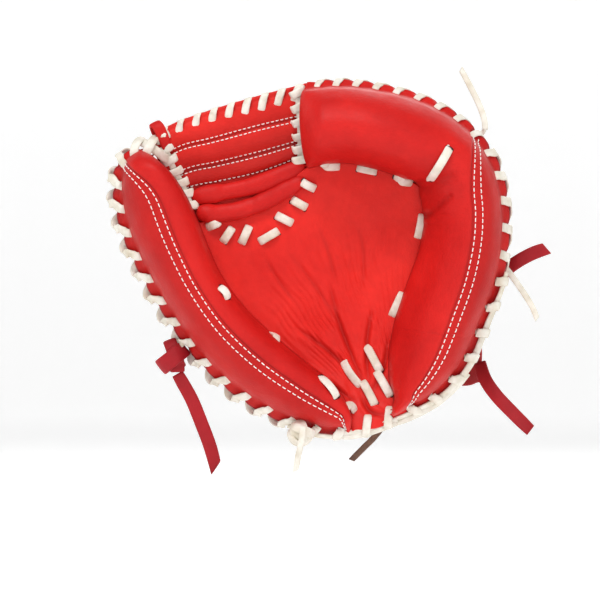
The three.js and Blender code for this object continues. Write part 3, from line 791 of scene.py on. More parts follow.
def double_row(pile, front, surface, seam, hooks):
    """Two rows just outside a roll's seam. Near its hooks they turn out to the edge with it."""
    (heel, heel_end), (near, end) = hooks
    straight = np.linspace(heel, near, 260)
    angle = np.linspace(0, 1.40, 40)
    for inset in (0.024, 0.072):
        across = seam - inset
        size = (end - near) - 0.30 * inset * np.sign(end - near)
        heel_size = (heel_end - heel) * (1 - 2.2 * inset)
        u = np.concatenate([heel + heel_size * np.sin(angle[::-1]), straight,
                            near + size * np.sin(angle) ** (2 / 3)])
        v = np.concatenate([across * np.cos(angle[::-1]), np.full(260, across), across * np.cos(angle)])
        stitch_on(pile, front, surface.at(u, v))


def make_palm():
    u, v = np.linspace(0, 1, 320), np.linspace(0, 1, 200)
    grid = PALM.grid(u, v)
    x, z = grid[..., 0], grid[..., 2]
    # Fine wrinkles run from the crotch down towards the heel.
    slant = np.stack([(x + z) * 0.7, grid[..., 1], (z - x) * 0.7], -1)
    low = np.clip((150 - z) / 110, 0.25, 1)
    relief = 0.42 * low * (value_noise(slant, (3.2, 9, 12), 3) + 0.7 * value_noise(slant, (6, 9, 20), 4))
    # Close wrinkles run down the worked pocket and draw together at the heel lace.
    level = 92 * np.arctan2(x - 54, z + 4) + 3.4 * value_noise(grid, (22, 22, 30), 6)
    worked = np.clip(1 - np.hypot((x - 8) / 52, (z - 98) / 64) ** 2, 0, 1) ** 0.6
    ridge = np.sin(level * 2 * np.pi / 3.3 + 2.6 * value_noise(grid, (13, 13, 17), 8))
    patchy = np.clip(0.55 + 0.9 * value_noise(grid, (10, 10, 14), 9), 0, 1)
    relief += 0.46 * ridge * worked * patchy
    relief += 1.0 * value_noise(grid, (34, 34, 48), 5)
    # Painted shade in the creases, deeper in the first six.
    crease = np.zeros_like(x)
    lines = [
        [(22, 34), (10, 52), (-6, 66), (-24, 78)], [(24, 38), (14, 62), (6, 84), (0, 108)],
        [(27, 40), (26, 66), (30, 92)], [(30, 34), (38, 52), (41, 72)],
        [(18, 26), (4, 36), (-10, 47)], [(22, 30), (28, 20), (38, 17)],
        [(-30, 132), (-14, 112), (0, 92), (10, 72)], [(-46, 128), (-34, 108), (-20, 92)],
        [(20, 150), (24, 126), (22, 104)], [(-8, 150), (0, 128), (4, 110)],
    ]
    flat = np.stack([x, 0 * x, z], -1)
    for k, line in enumerate(lines):
        depth = 1.5 if k < 6 else 0.7
        path = smooth([(a, 0, b) for a, b in line], np.linspace(0, 1, 24))
        gap, along = line_distance(flat, path)
        fade = np.sin(np.pi * np.clip(along, 0.02, 0.98)) ** 0.6
        dent = np.exp(-(gap / 1.6) ** 2) * fade
        relief += depth * (0.5 * np.exp(-((gap - 3.6) / 2.4) ** 2) * fade - dent)
        crease = np.maximum(crease, 0.6 * depth / 1.5 * dent)
    border = np.minimum(np.minimum(v, 1 - v)[None, :] / 0.05, 1)
    relief *= border
    # Painted shade along the palm's sides, where it tucks under the rolls, and in its creases.
    shade = 0.42 * np.exp(-(np.minimum(v, 1 - v)[None, :] / 0.03) ** 2) + crease
    palm = shell("palm_leather", grid, UP, FRONT_THICK, "palm_leather", relief, shade)
    fronts.append(settle(palm, PALM_FOLD, "palm_leather_thumb", "palm_leather_finger"))


ROLL_FLATNESS = 0.72         # the depth of a web roll for its height


def make_web():
    u, v = np.linspace(0, 1, 150), np.linspace(0, 1, 130)
    grid = WEB.grid(u, v)
    relief = leather_relief(grid, 21, 0.4, 0.7)
    rows = (0.04, 0.27, 0.50, 0.66)
    # Painted shade over the web, darkest across its sunken middle and along the stitched rows.
    crease = 0.16 + 0.34 * np.exp(-((v - 0.60) / 0.24) ** 2)
    for a, b in zip(rows[:-1], rows[1:]):
        inside = (v >= a) & (v <= b)
        relief[:, inside] += 2.6 * np.sin(np.pi * (v[inside] - a) / (b - a)) ** 0.7
    for row in rows[1:]:
        crease += 0.5 * np.exp(-((v - row) / 0.012) ** 2)
    web = shell("web_front_leather", grid, UP, FRONT_THICK, "palm_leather", relief,
                np.tile(crease, (len(u), 1)))
    fronts.append(settle(web, WEB_SIDE, "web_front_leather"))
    pile = Pile()
    inner = np.linspace(0.10, 0.95, 160)
    front = Front([web])
    for v_row in (0.250, 0.298, 0.480, 0.525, 0.655):
        stitch_on(pile, front, WEB.at(inner, v_row), 3.3, 2.2)
    # Two padded rolls across the foot of the web.
    for name, v_mid, size, seed in (("web_roll_upper", 0.76, 6.2, 31), ("web_roll_lower", 0.93, 6.6, 33)):
        count, sides = 120, 40
        k = np.linspace(0.12, 0.95, count)
        normal = WEB.normal(k, v_mid)
        spine = WEB.at(k, v_mid) + normal * 2.5
        turn = np.linspace(0, 2 * np.pi, sides, endpoint=False)[None, :, None]
        down = unit(np.cross(np.gradient(spine, axis=0), normal))
        girth = size * np.sqrt(np.clip(1 - (2 * np.abs(np.linspace(0, 1, count) - 0.5)) ** 10, 0.05, 1))
        ring = spine[:, None] + girth[:, None, None] * (
            down[:, None] * np.cos(turn) + normal[:, None] * ROLL_FLATNESS * np.sin(turn))
        away = unit(ring - spine[:, None])
        dents = 0.5 * value_noise(ring, (5, 30, 30), seed) + 0.6 * value_noise(ring, (14, 20, 20), seed + 1)
        ring = ring + away * dents[..., None]
        verts = ring.reshape(-1, 3)
        roll = make_object(name, verts, capped_rings(count, sides), "red_leather",
                           {"crease": np.zeros(len(verts))})
        settle(roll, WEB_SIDE, name)
        fronts.append(roll)
    pile.settle("web_stitching", "thread", WEB_SIDE)


def pad_corner(grid):
    """The valley where the finger pad ends against the little-finger roll, and the puckers below it, with
    painted shade in the valley and the fold.
    """
    valley = OUTER_ROLL.at([0.305, 0.325, 0.35, 0.375], [1.0, 0.84, 0.68, 0.55])
    gap, along = line_distance(grid, smooth(valley, np.linspace(0, 1, 16)))
    dent = np.exp(-(gap / 5.0) ** 2) * (1 - 0.55 * along)
    tuck = OUTER_ROLL.at([0.43, 0.435, 0.43, 0.42], [0.94, 0.84, 0.74, 0.60])
    gap2, _ = line_distance(grid, smooth(tuck, np.linspace(0, 1, 16)))
    fold = np.exp(-(gap2 / 2.2) ** 2)
    ripple = 0.5 * value_noise(grid, (16, 16, 3.0), 77) * np.exp(-(gap2 / 9.0) ** 2)
    return -5.5 * dent - 1.3 * fold + ripple, 0.45 * dent ** 3 + 0.25 * fold


# ------------------------------------------------------------------ laces
LACE_WIDTH, LACE_THICKNESS = 5.8, 1.7


def strip(pile, points, normals, count, width=LACE_WIDTH, thickness=LACE_THICKNESS, *section):
    """A lace along a smooth curve through points, turned to face the normals."""
    t = np.linspace(0, 1, count)
    band(pile, smooth(points, t), unit(smooth(normals, t)), width, thickness, *section)


def wind_lace(pile, edge, first, last, slant, inset, outside, width=LACE_WIDTH):
    """One lace wound round an edge from loop number first to last, down to the front at each hole."""
    points, normals = [], []
    for k in range(first, last):
        s = edge.loops[k]
        step = (edge.loops[k + 1] - s) if k + 1 < len(edge.loops) else s - edge.loops[k - 1]
        wobble = rng.uniform(-0.5, 0.5)
        hole, out = edge.on_front(s, inset + wobble)
        mid, mid_out = edge.on_front(s + slant * 0.45, inset * 0.45)
        rim, inward, _ = edge.frame(s + slant)
        late, late_in, _ = edge.frame(s + slant + 0.45 * (step - slant))
        end, end_in, _ = edge.frame(s + step - 1.5)
        climb = unit(rim - hole)
        points += [
            hole - out * 2.6 - climb * 0.6, hole + out * 0.5 - climb * 0.5, hole + out * 1.5 + climb * 1.2,
            mid + mid_out * 1.7, rim + UP * 1.4 - inward * (0.4 + 0.3 * outside),
            rim - inward * (1.0 + outside) + BACK_OUT * 2.2, late - late_in * outside * 0.8 + BACK_OUT * 6.6,
            end + end_in * inset * 0.75 + BACK_OUT * 8.2, end + end_in * inset + BACK_OUT * 3.0]
        normals += [
            unit(out - climb), unit(out - climb * 0.5), out, unit(mid_out), unit(UP - inward), -inward,
            unit(BACK_OUT - late_in), BACK_OUT, unit(BACK_OUT + end_in)]
    strip(pile, points, normals, 6 * len(points), width)


def wrap_lace(pile, edge, first, last, inset, reach, width=LACE_WIDTH):
    """Separate turns of lace square across the edge and over the lace that runs along it."""
    for k in range(first, last):
        lean = rng.uniform(-1.6, 1.6)
        s = edge.loops[k]
        hole, out = edge.on_front(s, inset)
        rim, inward, _ = edge.frame(s + lean)
        end, end_in, _ = edge.frame(s + 1.6 * lean)
        back = np.array([0, 1.0, 0])
        points = [hole - out * 2.4, hole + out * 1.3 - inward * 1.2,
                  rim - inward * reach * 0.35 + UP * 4.6, rim - inward * reach - back * 0.5,
                  rim - inward * reach * 0.6 + back * 4.6, end + end_in * inset * 0.5 + back * 7.2,
                  end + end_in * inset + back * 4.0]
        normals = [unit(out - inward), out, unit(UP - inward * 0.5), -inward, unit(back - inward), back, back]
        strip(pile, points, normals, 30, width)


def running_lace(pile, edge, s_from, s_to, outside, front, width, seed):
    """A lace that runs along the edge, under its turns."""
    places = np.arange(s_from, s_to, 4.0)
    points, normals = [], []
    for i, s in enumerate(places):
        rim, inward, _ = edge.frame(s)
        sway = 0.7 * math.sin(0.35 * i + seed) + rng.uniform(-0.15, 0.15)
        points.append(rim - inward * (outside + sway * 0.6) + UP * (front + sway))
        turn = 0.5 * math.sin(0.21 * i + seed)
        normals.append(unit(UP - inward * (0.8 + turn)))
    strip(pile, points, normals, 4 * len(points), width)


class Front:
    """The front surfaces, for laying laces on them where a line from the front meets them."""

    def __init__(self, objects):
        verts, faces = [], []
        for obj in objects:
            start = len(verts)
            verts += [v.co.copy() for v in obj.data.vertices]
            faces += [tuple(start + i for i in p.vertices) for p in obj.data.polygons]
        self.tree = BVHTree.FromPolygons(verts, faces)

    def at(self, x, z):
        """The first surface point and its normal, in mm, going back from the front at (x, z)."""
        place, normal, _, _ = self.tree.ray_cast(Vector((x * MM, -0.3, z * MM)), Vector((0, 1, 0)))
        if place is None:
            return np.array([x, 0.0, z]), UP
        normal = np.array(normal)
        return np.array(place) / MM, normal if normal[1] < 0 else -normal


def lay_stitch(pile, holes, front, a, b, climb=5.0, width=6.0, bow=1.7, lift=1.0):
    """One taut lace stitch on the leather between two holes at (x, z) places, and a near-black disc at each
    of the two holes as painted shadow.
    """
    a, b = np.array(a, float), np.array(b, float)
    count = 9
    found = [front.at(*(a + (b - a) * t)) for t in np.linspace(0, 1, count)]
    points = np.array([p for p, _ in found])
    normal = unit(np.mean([n for _, n in found], axis=0) + 0.8 * UP)
    # The lace bridges hollows between its holes, and neither end climbs far above the other.
    heights = points @ normal
    ends = np.minimum(heights[[0, -1]], heights[[0, -1]].min() + climb)
    chord = np.linspace(ends[0], ends[1], count)
    raised = np.maximum(np.minimum(heights, chord + climb / 2), chord) + lift
    raised = raised + bow * np.sin(np.pi * np.linspace(0, 1, count))
    points = points + normal * (raised - heights)[:, None]
    along = unit(points[-1] - points[0])
    first, last = points[0], points[-1]
    path = np.concatenate([
        [first - normal * 3.4 + along * 0.5, first - normal * 1.2 - along * 0.4], points[1:-1],
        [last - normal * 1.2 + along * 0.4, last - normal * 3.4 - along * 0.5]])
    t = np.linspace(0, 1, 30)
    band(pile, smooth(path, t), np.repeat(normal[None], 30, 0), width, 1.9, 0.82)
    across = np.cross(normal, along)
    turn = np.linspace(0, 2 * np.pi, 14, endpoint=False)
    # Each disc is painted shadow where the lace goes into its hole.
    for end, sign in ((first, -1), (last, 1)):
        middle = end - normal * (lift + 0.15) + along * sign * 0.5
        ring = middle + np.outer(np.cos(turn) * 1.7, along)
        ring = ring + np.outer(np.sin(turn) * (width / 2 + 0.6), across)
        verts = np.concatenate([ring, ring - normal * 1.2, [middle + normal * 0.12]])
        faces = [(i, (i + 1) % 14, 28) for i in range(14)]
        faces += [(i + 14, (i + 1) % 14 + 14, (i + 1) % 14, i) for i in range(14)]
        faces += [tuple(range(27, 13, -1))]
        holes.add(verts, faces)


# Laces seen on the palm, as the two holes of each stitch, (x, z) in mm.
CROTCH_STITCHES = [((-86, 149), (-79, 152)), ((-75, 139), (-69, 148)), ((-62, 138), (-57, 149)),
                   ((-49, 139), (-37, 146)), ((-37, 157), (-27, 152)), ((-26, 168), (-17, 163)),
                   ((-19, 180), (-11, 176))]
CORNER_STITCH = ((69, 181), (81, 201))       # climbs from the palm over the corner of the finger pad
PAD_STITCHES = [((-5, 192.5), (6, 191.5)), ((20, 190.5), (32, 188)), ((46, 184.5), (57, 180)), CORNER_STITCH]
CREASE_STITCHES = [((65, 157), (62, 142)), ((51, 102), (44, 87))]
HEEL_STITCHES = [((10, 54), (21, 38)), ((23, 40), (31, 25)), ((26, 65), (35, 48)), ((33, 47), (42, 31))]
THUMB_STITCHES = [((-76, 106), (-71, 99)), ((-41, 74), (-31, 63)), ((-7, 44), (4, 31)), ((6, 29), (17, 20))]


def make_laces(front):
    for name, stitches in (("crotch_lace", CROTCH_STITCHES), ("finger_pad_lace", PAD_STITCHES),
                           ("palm_crease_lace", CREASE_STITCHES), ("heel_lace", HEEL_STITCHES),
                           ("thumb_base_lace", THUMB_STITCHES)):
        nodes = [name] if stitches != THUMB_STITCHES else []
        pile, holes = Pile(), Pile()
        for a, b in stitches:
            lay_stitch(pile, holes, front, a, b, 60 if a == CORNER_STITCH[0] else 5)
        body = FINGER if stitches == PAD_STITCHES else PALM_FOLD
        holes.settle(name + "_holes", "hole", body)
        pile.settle(name, "cream_lace", body, *nodes)


def make_web_sides():
    """Ladders of lace down both sides of the web: rungs across, with flat links between them."""
    t = np.linspace(0, 1, 20)
    for name, u_at, rungs in (("web_lace_thumb", 0.085, np.linspace(0.05, 0.84, 7)),
                              ("web_lace_finger", 0.925, np.linspace(0.05, 0.71, 6))):
        pile = Pile()
        for v_at in rungs:
            out = WEB.normal(np.full(5, u_at), np.full(5, v_at))
            reach = unit(WEB.at(0.2, v_at)[0] - WEB.at(0.0, v_at)[0])
            place = WEB.at(u_at, v_at)[0] + np.outer([-5.4, -4.4, 0, 4.4, 5.4], reach)
            rise = np.array([-1.5, 2.2, 3.2, 2.2, -1.5])
            band(pile, smooth(place + out * (rise + 1.4)[:, None], t), np.repeat(out[:1], 20, 0), 6.2, 1.8)
        # Links lie flat between the rungs and duck under each of them.
        for first, last in zip(rungs[:-1], rungs[1:]):
            v_run = np.linspace(first, last, 9)
            spine = WEB.at(u_at, v_run)
            out = WEB.normal(np.full(9, u_at), v_run)
            rise = np.array([-0.6, 0.6, 1.5, 1.9, 2.0, 1.9, 1.5, 0.6, -0.6]) + 1.2
            band(pile, smooth(spine + out * rise[:, None], t), np.repeat(out[4:5], 20, 0), 4.4, 1.7)
        pile.settle(name, "cream_lace", WEB_SIDE, name)


def make_edge_laces():
    thumb = Pile()
    low = int(np.searchsorted(THUMB_LACED.loops, 30))
    wrap_lace(thumb, THUMB_LACED, 0, low, 8.0, 3.6, 6.6)
    running_lace(thumb, THUMB_LACED, 0.5, THUMB_LACED.loops[low] + 4, 1.4, 1.6, 4.6, 0.4)
    wind_lace(thumb, THUMB_LACED, low, len(THUMB_LACED.loops), 4.5, 8.0, 2.6, 6.6)
    # Laces that join the thumb's tip to the corner of the web.
    t = np.linspace(0, 1, 26)
    for points in (
            [(-134, -17, 193), (-136, -22, 199), (-134.5, -21, 206), (-131, -15, 209.5), (-127, -7, 207)],
            [(-128.5, -21, 195), (-126.5, -24.5, 201), (-123.5, -22, 207.5), (-121, -14, 210),
             (-118, -7, 207)],
            [(-131.5, -14, 207.5), (-128, -19.5, 206), (-121.5, -20.5, 201.5), (-115.5, -14, 197),
             (-113, -8, 196)]):
        path = smooth(points, t)
        away = unit(path - (-125, -4, 200))
        band(thumb, path, unit(away + UP * 0.8), 6.4, 1.9)
    web = Pile()
    wind_lace(web, WEB_LACED, 0, len(WEB_LACED.loops), 5.0, 9.5, -1.0, 5.4)
    finger, little = Pile(), Pile()
    corner = int(np.searchsorted(OUTER_LACED.loops, 0.36 * OUTER_LACED.length))
    side = int(np.searchsorted(OUTER_LACED.loops, 0.60 * OUTER_LACED.length))
    wind_lace(finger, OUTER_LACED, 0, corner, 2.6, 7.0, -0.5, 5.2)
    wind_lace(little, OUTER_LACED, corner, side, 3.2, 7.8, 0.8, 6.4)
    wrap_lace(little, OUTER_LACED, side, len(OUTER_LACED.loops), 8.2, 3.8, 6.6)
    # The lace comes out from behind the edge to its loose end at the top.
    strip(finger, [(96, 4, 210), (102, 6.5, 213), (107, 6, 215), (109, 4.6, 218.5)],
          [(0, 1, 0.5), (0.3, 1, 0.4), (0.9, 0.5, -0.2), (0.95, 0.2, 0)], 26, 4.6, 1.9)
    start = OUTER_LACED.loops[side] - 6
    running_lace(little, OUTER_LACED, start, OUTER_LACED.length + 0.1, 1.0, 2.2, 5.0, 1.2)
    running_lace(little, OUTER_LACED, OUTER_LACED.length - 62, OUTER_LACED.length + 0.1, 4.0, -0.6, 4.4, 2.6)
    for part, pile, body in (("thumb", thumb, THUMB), ("web", web, WEB_SIDE), ("finger", finger, FINGER),
                             ("little_finger", little, FINGER)):
        name = "edge_lace_" + part
        pile.settle(name, "cream_lace", body, name)


def make_heel_bridge():
    """The edge lace crosses the heel between the two rolls, over the fold."""
    a = OUTER_LACED.line[-1]
    b = THUMB_LACED.line[0]
    pile = Pile()
    for shift, width, seed in ((0.6, 5.0, 0), (3.4, 4.4, 1)):
        line = smooth([a + (4, 0, -shift), a * 0.66 + b * 0.34 + (0, 0, -shift - 1.2),
                       a * 0.33 + b * 0.67 + (0, 0, -shift - 0.6), b + (-5, 0, -shift + 1.0)],
                      np.linspace(0, 1, 30)) + UP * (3.0 - seed)
        band(pile, line, np.repeat(unit(UP + (0, 0, -0.6))[None], 30, 0), width, LACE_THICKNESS)
    for share in (0.1, 0.62):
        place = a * (1 - share) + b * share
        points = place + np.array([[1.5, -1, 9], [1.2, -4.5, 7], [0.4, -6.2, 1], [0, -4.0, -5.5],
                                   [-0.3, 2.5, -4.5], [-0.5, 6.0, 2]])
        turned = unit(np.array([[0, -1, 0.6], [0, -1, 0.3], [0, -1, -0.2], [0, -0.6, -1], [0, 0.8, -1],
                                [0, 1, 0]]))
        strip(pile, points, turned, 26)
    pile.settle("heel_edge_lace", "cream_lace", HEEL_BEND)


# ------------------------------------------------------------------ back of the hand
# The back shells, from the laced edge to the opening over the hand.
THUMB_BACK = Surface(through(
    [(-36, 6, 15), (-66, 6, 33), (-92, 6, 57), (-115, 5, 88), (-132, 3, 119), (-145, 0, 155),
     (-148, -5, 184)],
    [(-42, 30, 40), (-62, 32, 58), (-82, 32, 84), (-98, 30, 110), (-110, 26, 136), (-117, 20, 158),
     (-116, 14, 170)],
    [(-38, 48, 54), (-48, 50, 70), (-58, 49, 92), (-68, 45, 112), (-76, 40, 130), (-80, 32, 144),
     (-80, 26, 150)],
    [(-22, 56, 84), (-22, 56, 96), (-22, 55, 106), (-23, 52, 118), (-24, 46, 130), (-26, 40, 140),
     (-27, 36, 146)]), BACK_OUT)
FINGER_BACK = Surface(through(
    [(106, 6, 72), (120, 5, 110), (123, 2, 150), (117, 0, 190), (96, -3, 219), (62, -3, 238), (26, -3, 245),
     (-13, -3, 246)],
    [(100, 28, 72), (108, 32, 108), (108, 30, 150), (100, 26, 184), (84, 22, 204), (56, 20, 220),
     (22, 20, 227), (-8, 16, 224)],
    [(94, 46, 74), (92, 51, 100), (86, 49, 135), (76, 45, 164), (62, 40, 182), (42, 37, 194), (18, 36, 198),
     (-8, 32, 188)],
    [(84, 54, 76), (74, 59, 88), (60, 61, 98), (46, 61, 104), (30, 60, 108), (16, 58, 110), (4, 55, 112),
     (-10, 50, 114)]), BACK_OUT)


def outer(surface, u, v, away):
    """A grid of a surface moved out along its normals."""
    grid = surface.grid(u, v)
    return grid + grid_normals(grid, surface.out) * away


def row_on(pile, surface, u, v, away):
    """A row of stitches on a surface through matching u and v."""
    normal = surface.normal(u, v)
    stitch_row(pile, surface.at(u, v) + normal * away, normal)


def make_backs():
    u, v = np.linspace(0, 1, 150), np.linspace(0, 1, 90)
    seams = (0.30, 0.47, 0.64, 0.80)
    for name, surface, body, lines, seed in (("thumb_back", THUMB_BACK, THUMB, (0.55,), 41),
                                             ("finger_back", FINGER_BACK, FINGER, seams, 43)):
        grid = outer(surface, u, v, 2.4)
        relief = leather_relief(grid, seed, 0.45, 1.3)
        shade = np.zeros_like(relief)
        # A seam runs down between the fingers, with painted shade in its groove, and the leather swells over
        # each finger.
        for at in lines:
            gap = (u - at)[:, None] / 0.02
            fade = np.clip((0.9 - v) / 0.2, 0, 1)[None, :] * np.clip((v - 0.08) / 0.1, 0, 1)[None, :]
            relief = relief - (2.2 * np.exp(-gap ** 2) - 0.8 * np.exp(-(gap / 2.8) ** 2)) * fade
            shade = np.maximum(shade, 0.55 * np.exp(-(gap / 0.5) ** 2) * fade)
        piece = shell(name, grid, BACK_OUT, BACK_THICK, "deep_red_leather", relief, shade)
        settle(piece, body, name)
        inner_u, inner_v = np.linspace(0.05, 0.95, 70), np.linspace(0.30, 0.97, 40)
        lining = outer(surface, inner_u, inner_v, -3.5)
        soft = 0.4 * value_noise(lining, (12, 12, 12), seed + 1)
        piece = shell(name + "_lining", lining, (0, -1, 0), LINING_THICK, "lining_leather", soft)
        settle(piece, body, name + "_lining")
        pile = Pile()
        for at in lines:
            for side in (-0.012, 0.012):
                k = np.linspace(0.10, 0.88, 120)
                row_on(pile, surface, np.full(120, at + side), k, 1.9)
        k = np.linspace(0.03, 0.97, 200)
        for inset in (0.955, 0.09):
            row_on(pile, surface, k, np.full(200, inset), 2.7)
        pile.settle(name + "_stitching", "thread", body)


def tube(path, radius, sides=12):
    """Verts and faces of a closed round tube; radius is one value or one a point."""
    tangent = unit(np.gradient(path, axis=0))
    side = unit(np.cross(tangent, np.array([0.13, 0.3, 0.94])))
    other = np.cross(side, tangent)
    turn = np.linspace(0, 2 * np.pi, sides, endpoint=False)
    size = np.broadcast_to(np.asarray(radius, float), (len(path),))[:, None, None]
    ring = path[:, None] + size * (side[:, None] * np.cos(turn)[None, :, None]
                                   + other[:, None] * np.sin(turn)[None, :, None])
    return ring.reshape(-1, 3), capped_rings(len(path), sides)


def make_bindings():
    """The rolled binding round the opening, and the piping inside the laced edges."""
    for name, body, surface in (("back_binding_finger", FINGER, FINGER_BACK),
                                ("back_binding_thumb", THUMB, THUMB_BACK)):
        k = np.linspace(0.004, 0.996, 110)
        path = surface.at(k, 1.0) + surface.normal(k, 1.0) * 1.1
        verts, faces = tube(path, 2.7 + 0.12 * np.sin(np.arange(110) * 0.9))
        piece = make_object(name, verts, faces, "deep_red_leather")
        settle(piece, body, name)
    for name, edge, span, body in (("edge_welt_thumb", THUMB_LACED, (0, 1), THUMB),
                                   ("edge_welt_web", WEB_LACED, (0, 1), WEB_SIDE),
                                   ("edge_welt_finger", OUTER_LACED, (0, 0.40), FINGER),
                                   ("edge_welt_little_finger", OUTER_LACED, (0.402, 1), FINGER)):
        k = np.linspace(span[0], span[1], 260) * edge.length
        near = edge.nearness(k, 3.0)
        line, inner, _ = edge.frame(k)
        line = line + inner * 1.6 + BACK_OUT * 3.6 + inner * (1.5 * near)[:, None]
        verts, faces = tube(line, 2.5 - 0.3 * near)
        piece = make_object(name, verts, faces, "deep_red_leather")
        settle(piece, body, name)


def make_web_back():
    u, v = np.linspace(0.02, 0.98, 110), np.linspace(0.01, 0.98, 80)
    grid = WEB.grid(u, v) + BACK_OUT * 4.8
    relief = leather_relief(grid, 51, 0.4, 0.8)
    shade = np.zeros_like(relief)
    rows = (0.27, 0.50, 0.66, 0.84)
    pile = Pile()
    k = np.linspace(0.05, 0.95, 150)
    # Each stitched row sinks into a groove with painted shade in it.
    for row in rows:
        gap = (v - row)[None, :]
        relief = relief - 1.3 * np.exp(-(gap / 0.02) ** 2)
        shade = shade + 0.4 * np.exp(-(gap / 0.012) ** 2)
        path = WEB.at(k, row) + BACK_OUT * 4.4
        stitch_row(pile, path, np.repeat(BACK_OUT[None], 150, 0))
    piece = shell("web_back_leather", grid, BACK_OUT, FRONT_THICK, "deep_red_leather", relief, shade)
    settle(piece, WEB_SIDE, "web_back_leather")
    pile.settle("web_back_stitching", "thread", WEB_SIDE)


STRAP_LINE = [(106, 34), (96, 52), (70, 69), (40, 76), (11, 78.5), (-16, 76), (-42, 67), (-61, 55), (-73, 43)]


STRAP_HEIGHT = 56            # the middle of the strap


def make_strap():
    count = 170
    xy = even([(x, y, 0) for x, y in STRAP_LINE], count)
    t = np.linspace(0, 1, count)
    v = np.linspace(0, 1, 46)
    # The strap is a little narrower at its two ends.
    half = 20 - 3.0 * np.exp(-(np.minimum(t, 1 - t) / 0.05) ** 2)
    z = STRAP_HEIGHT + (2 * v[None, :] - 1) * half[:, None]
    grid = np.stack([np.repeat(xy[:, :1], 46, 1), np.repeat(xy[:, 1:2], 46, 1), z], -1)
    grid = grid + grid_normals(grid, BACK_OUT) * 2.4
    bow = 1.4 * np.sin(np.pi * v)[None, :] + leather_relief(grid, 61, 0.5, 1.0)
    piece = shell("wrist_strap", grid, BACK_OUT, BACK_THICK, "deep_red_leather", bow)
    settle(piece, STRAP_BEND, "wrist_strap_finger", "wrist_strap_thumb")
    out = grid_normals(grid, BACK_OUT)
    pile = Pile()
    for row in (3, 42):
        stitch_row(pile, grid[:, row] + out[:, row] * (bow[:, row, None] + 0.1), out[:, row])
    for column in (7, count - 8):
        stitch_row(pile, grid[column] + out[column] * (bow[column][:, None] + 0.1), out[column])
    pile.settle("strap_stitching", "thread", STRAP_BEND)
    # Fleece inside the strap, thick and tufted.
    for name, cut in (("strap_fleece_finger", slice(48, 88)), ("strap_fleece_thumb", slice(90, 128))):
        part = even(grid[cut, 23], 90)
        rows = np.linspace(-16, 12, 50)
        face = part[:, None] + np.array([0, 0, 1.0]) * rows[None, :, None]
        away = grid_normals(face, (0, -1, 0))
        border = from_sides(np.linspace(0, 1, 90), np.linspace(0, 1, 50), 0.06, 0.08)
        swell = np.sqrt(np.clip(border, 0.0, 1))
        tufts = 0.8 * value_noise(face, (2.6, 2.6, 2.6), 63) + 0.5 * value_noise(face, (1.3, 1.3, 1.3), 64)
        front = face + away * (3.0 + (5.0 + tufts) * swell)[..., None]
        piece = closed_between(name, front, face + away * 2.7, "fleece")
        settle(piece, STRAP_BEND, name)
    # A plain sewn patch in the middle of the strap.
    middle, size, corner = np.array([34, STRAP_HEIGHT]), np.array([17, 11]), 4.0
    xs, zs = (np.linspace(middle[k] - size[k], middle[k] + size[k], (60, 40)[k]) for k in (0, 1))
    wide = np.stack(np.meshgrid(xs, zs, indexing="ij"), -1) - middle
    off = np.abs(wide) - (size - corner)
    over = np.maximum(off, 0)
    reach = np.linalg.norm(over, axis=-1, keepdims=True)
    fit = np.where(reach > corner, over * corner / np.maximum(reach, 1e-6), over)
    flat = middle + np.sign(wide) * (fit + np.minimum(off, 0) + (size - corner))

    def outside(flat, lift):
        """Places on the outside of the strap."""
        y = np.interp(flat[..., 0], xy[::-1, 0], xy[::-1, 1]) + lift
        return np.stack([flat[..., 0], y, flat[..., 1]], -1)

    face = outside(flat, 6.6)
    relief = 0.3 * value_noise(face, (8, 8, 8), 65) - 0.8 * np.exp(-from_sides(xs, zs, 1.2, 1.2) ** 2)
    patch = shell("strap_patch", face, BACK_OUT, FRONT_THICK, "red_leather", relief)
    settle(patch, STRAP_BEND, "strap_patch", slot="deep_red_leather")
    pile = Pile()
    ways = [(1, 0), (1, 1), (0, 1), (-1, 1), (-1, 0), (-1, -1), (0, -1), (1, -1), (1, 0)]
    inset = np.array([14.2, 8.2])
    loop = smooth([middle + np.array(way) * (inset - (0 not in way)) for way in ways], np.linspace(0, 1, 120))
    stitch_row(pile, outside(loop, 6.8), np.repeat(BACK_OUT[None], 120, 0), 3.2, 2.3)
    pile.settle("patch_stitching", "thread", STRAP_BEND)


def make_hood():
    """The padded cover for the forefinger, on the outside of the back."""
    u, v = np.linspace(0.66, 0.88, 60), np.linspace(0.5, 0.9, 60)
    base = outer(FINGER_BACK, u, v, 2.9)
    away = grid_normals(base, BACK_OUT)
    share = np.linspace(0, 1, 60)
    border = from_sides(share, share)
    bow = np.sin(np.pi * share)
    dome = np.clip(border / 0.16, 0, 1) ** 0.5 * 4.0 + 5.0 * bow[:, None] * bow[None, :]
    groove = 1.6 * np.exp(-((border - 0.13) / 0.02) ** 2)
    lumps = 0.5 * value_noise(base, (14, 14, 14), 71)
    piece = closed_between("index_finger_hood", base + away * (dome - groove + lumps + 0.2)[..., None], base,
                           "deep_red_leather")
    settle(piece, FINGER, "index_finger_hood")
    pile = Pile()
    ring = 7
    far = 59 - ring
    i, j = np.array([(k, ring) for k in range(ring, far + 1)] + [(far, k) for k in range(ring, far + 1)]
                    + [(k, far) for k in range(far, ring, -1)] + [(ring, k) for k in range(far, ring, -1)]).T
    top = base + away * (dome - groove + lumps + 0.4)[..., None]
    stitch_row(pile, top[i, j], away[i, j], 3.4, 2.5)
    pile.settle("hood_stitching", "thread", FINGER)


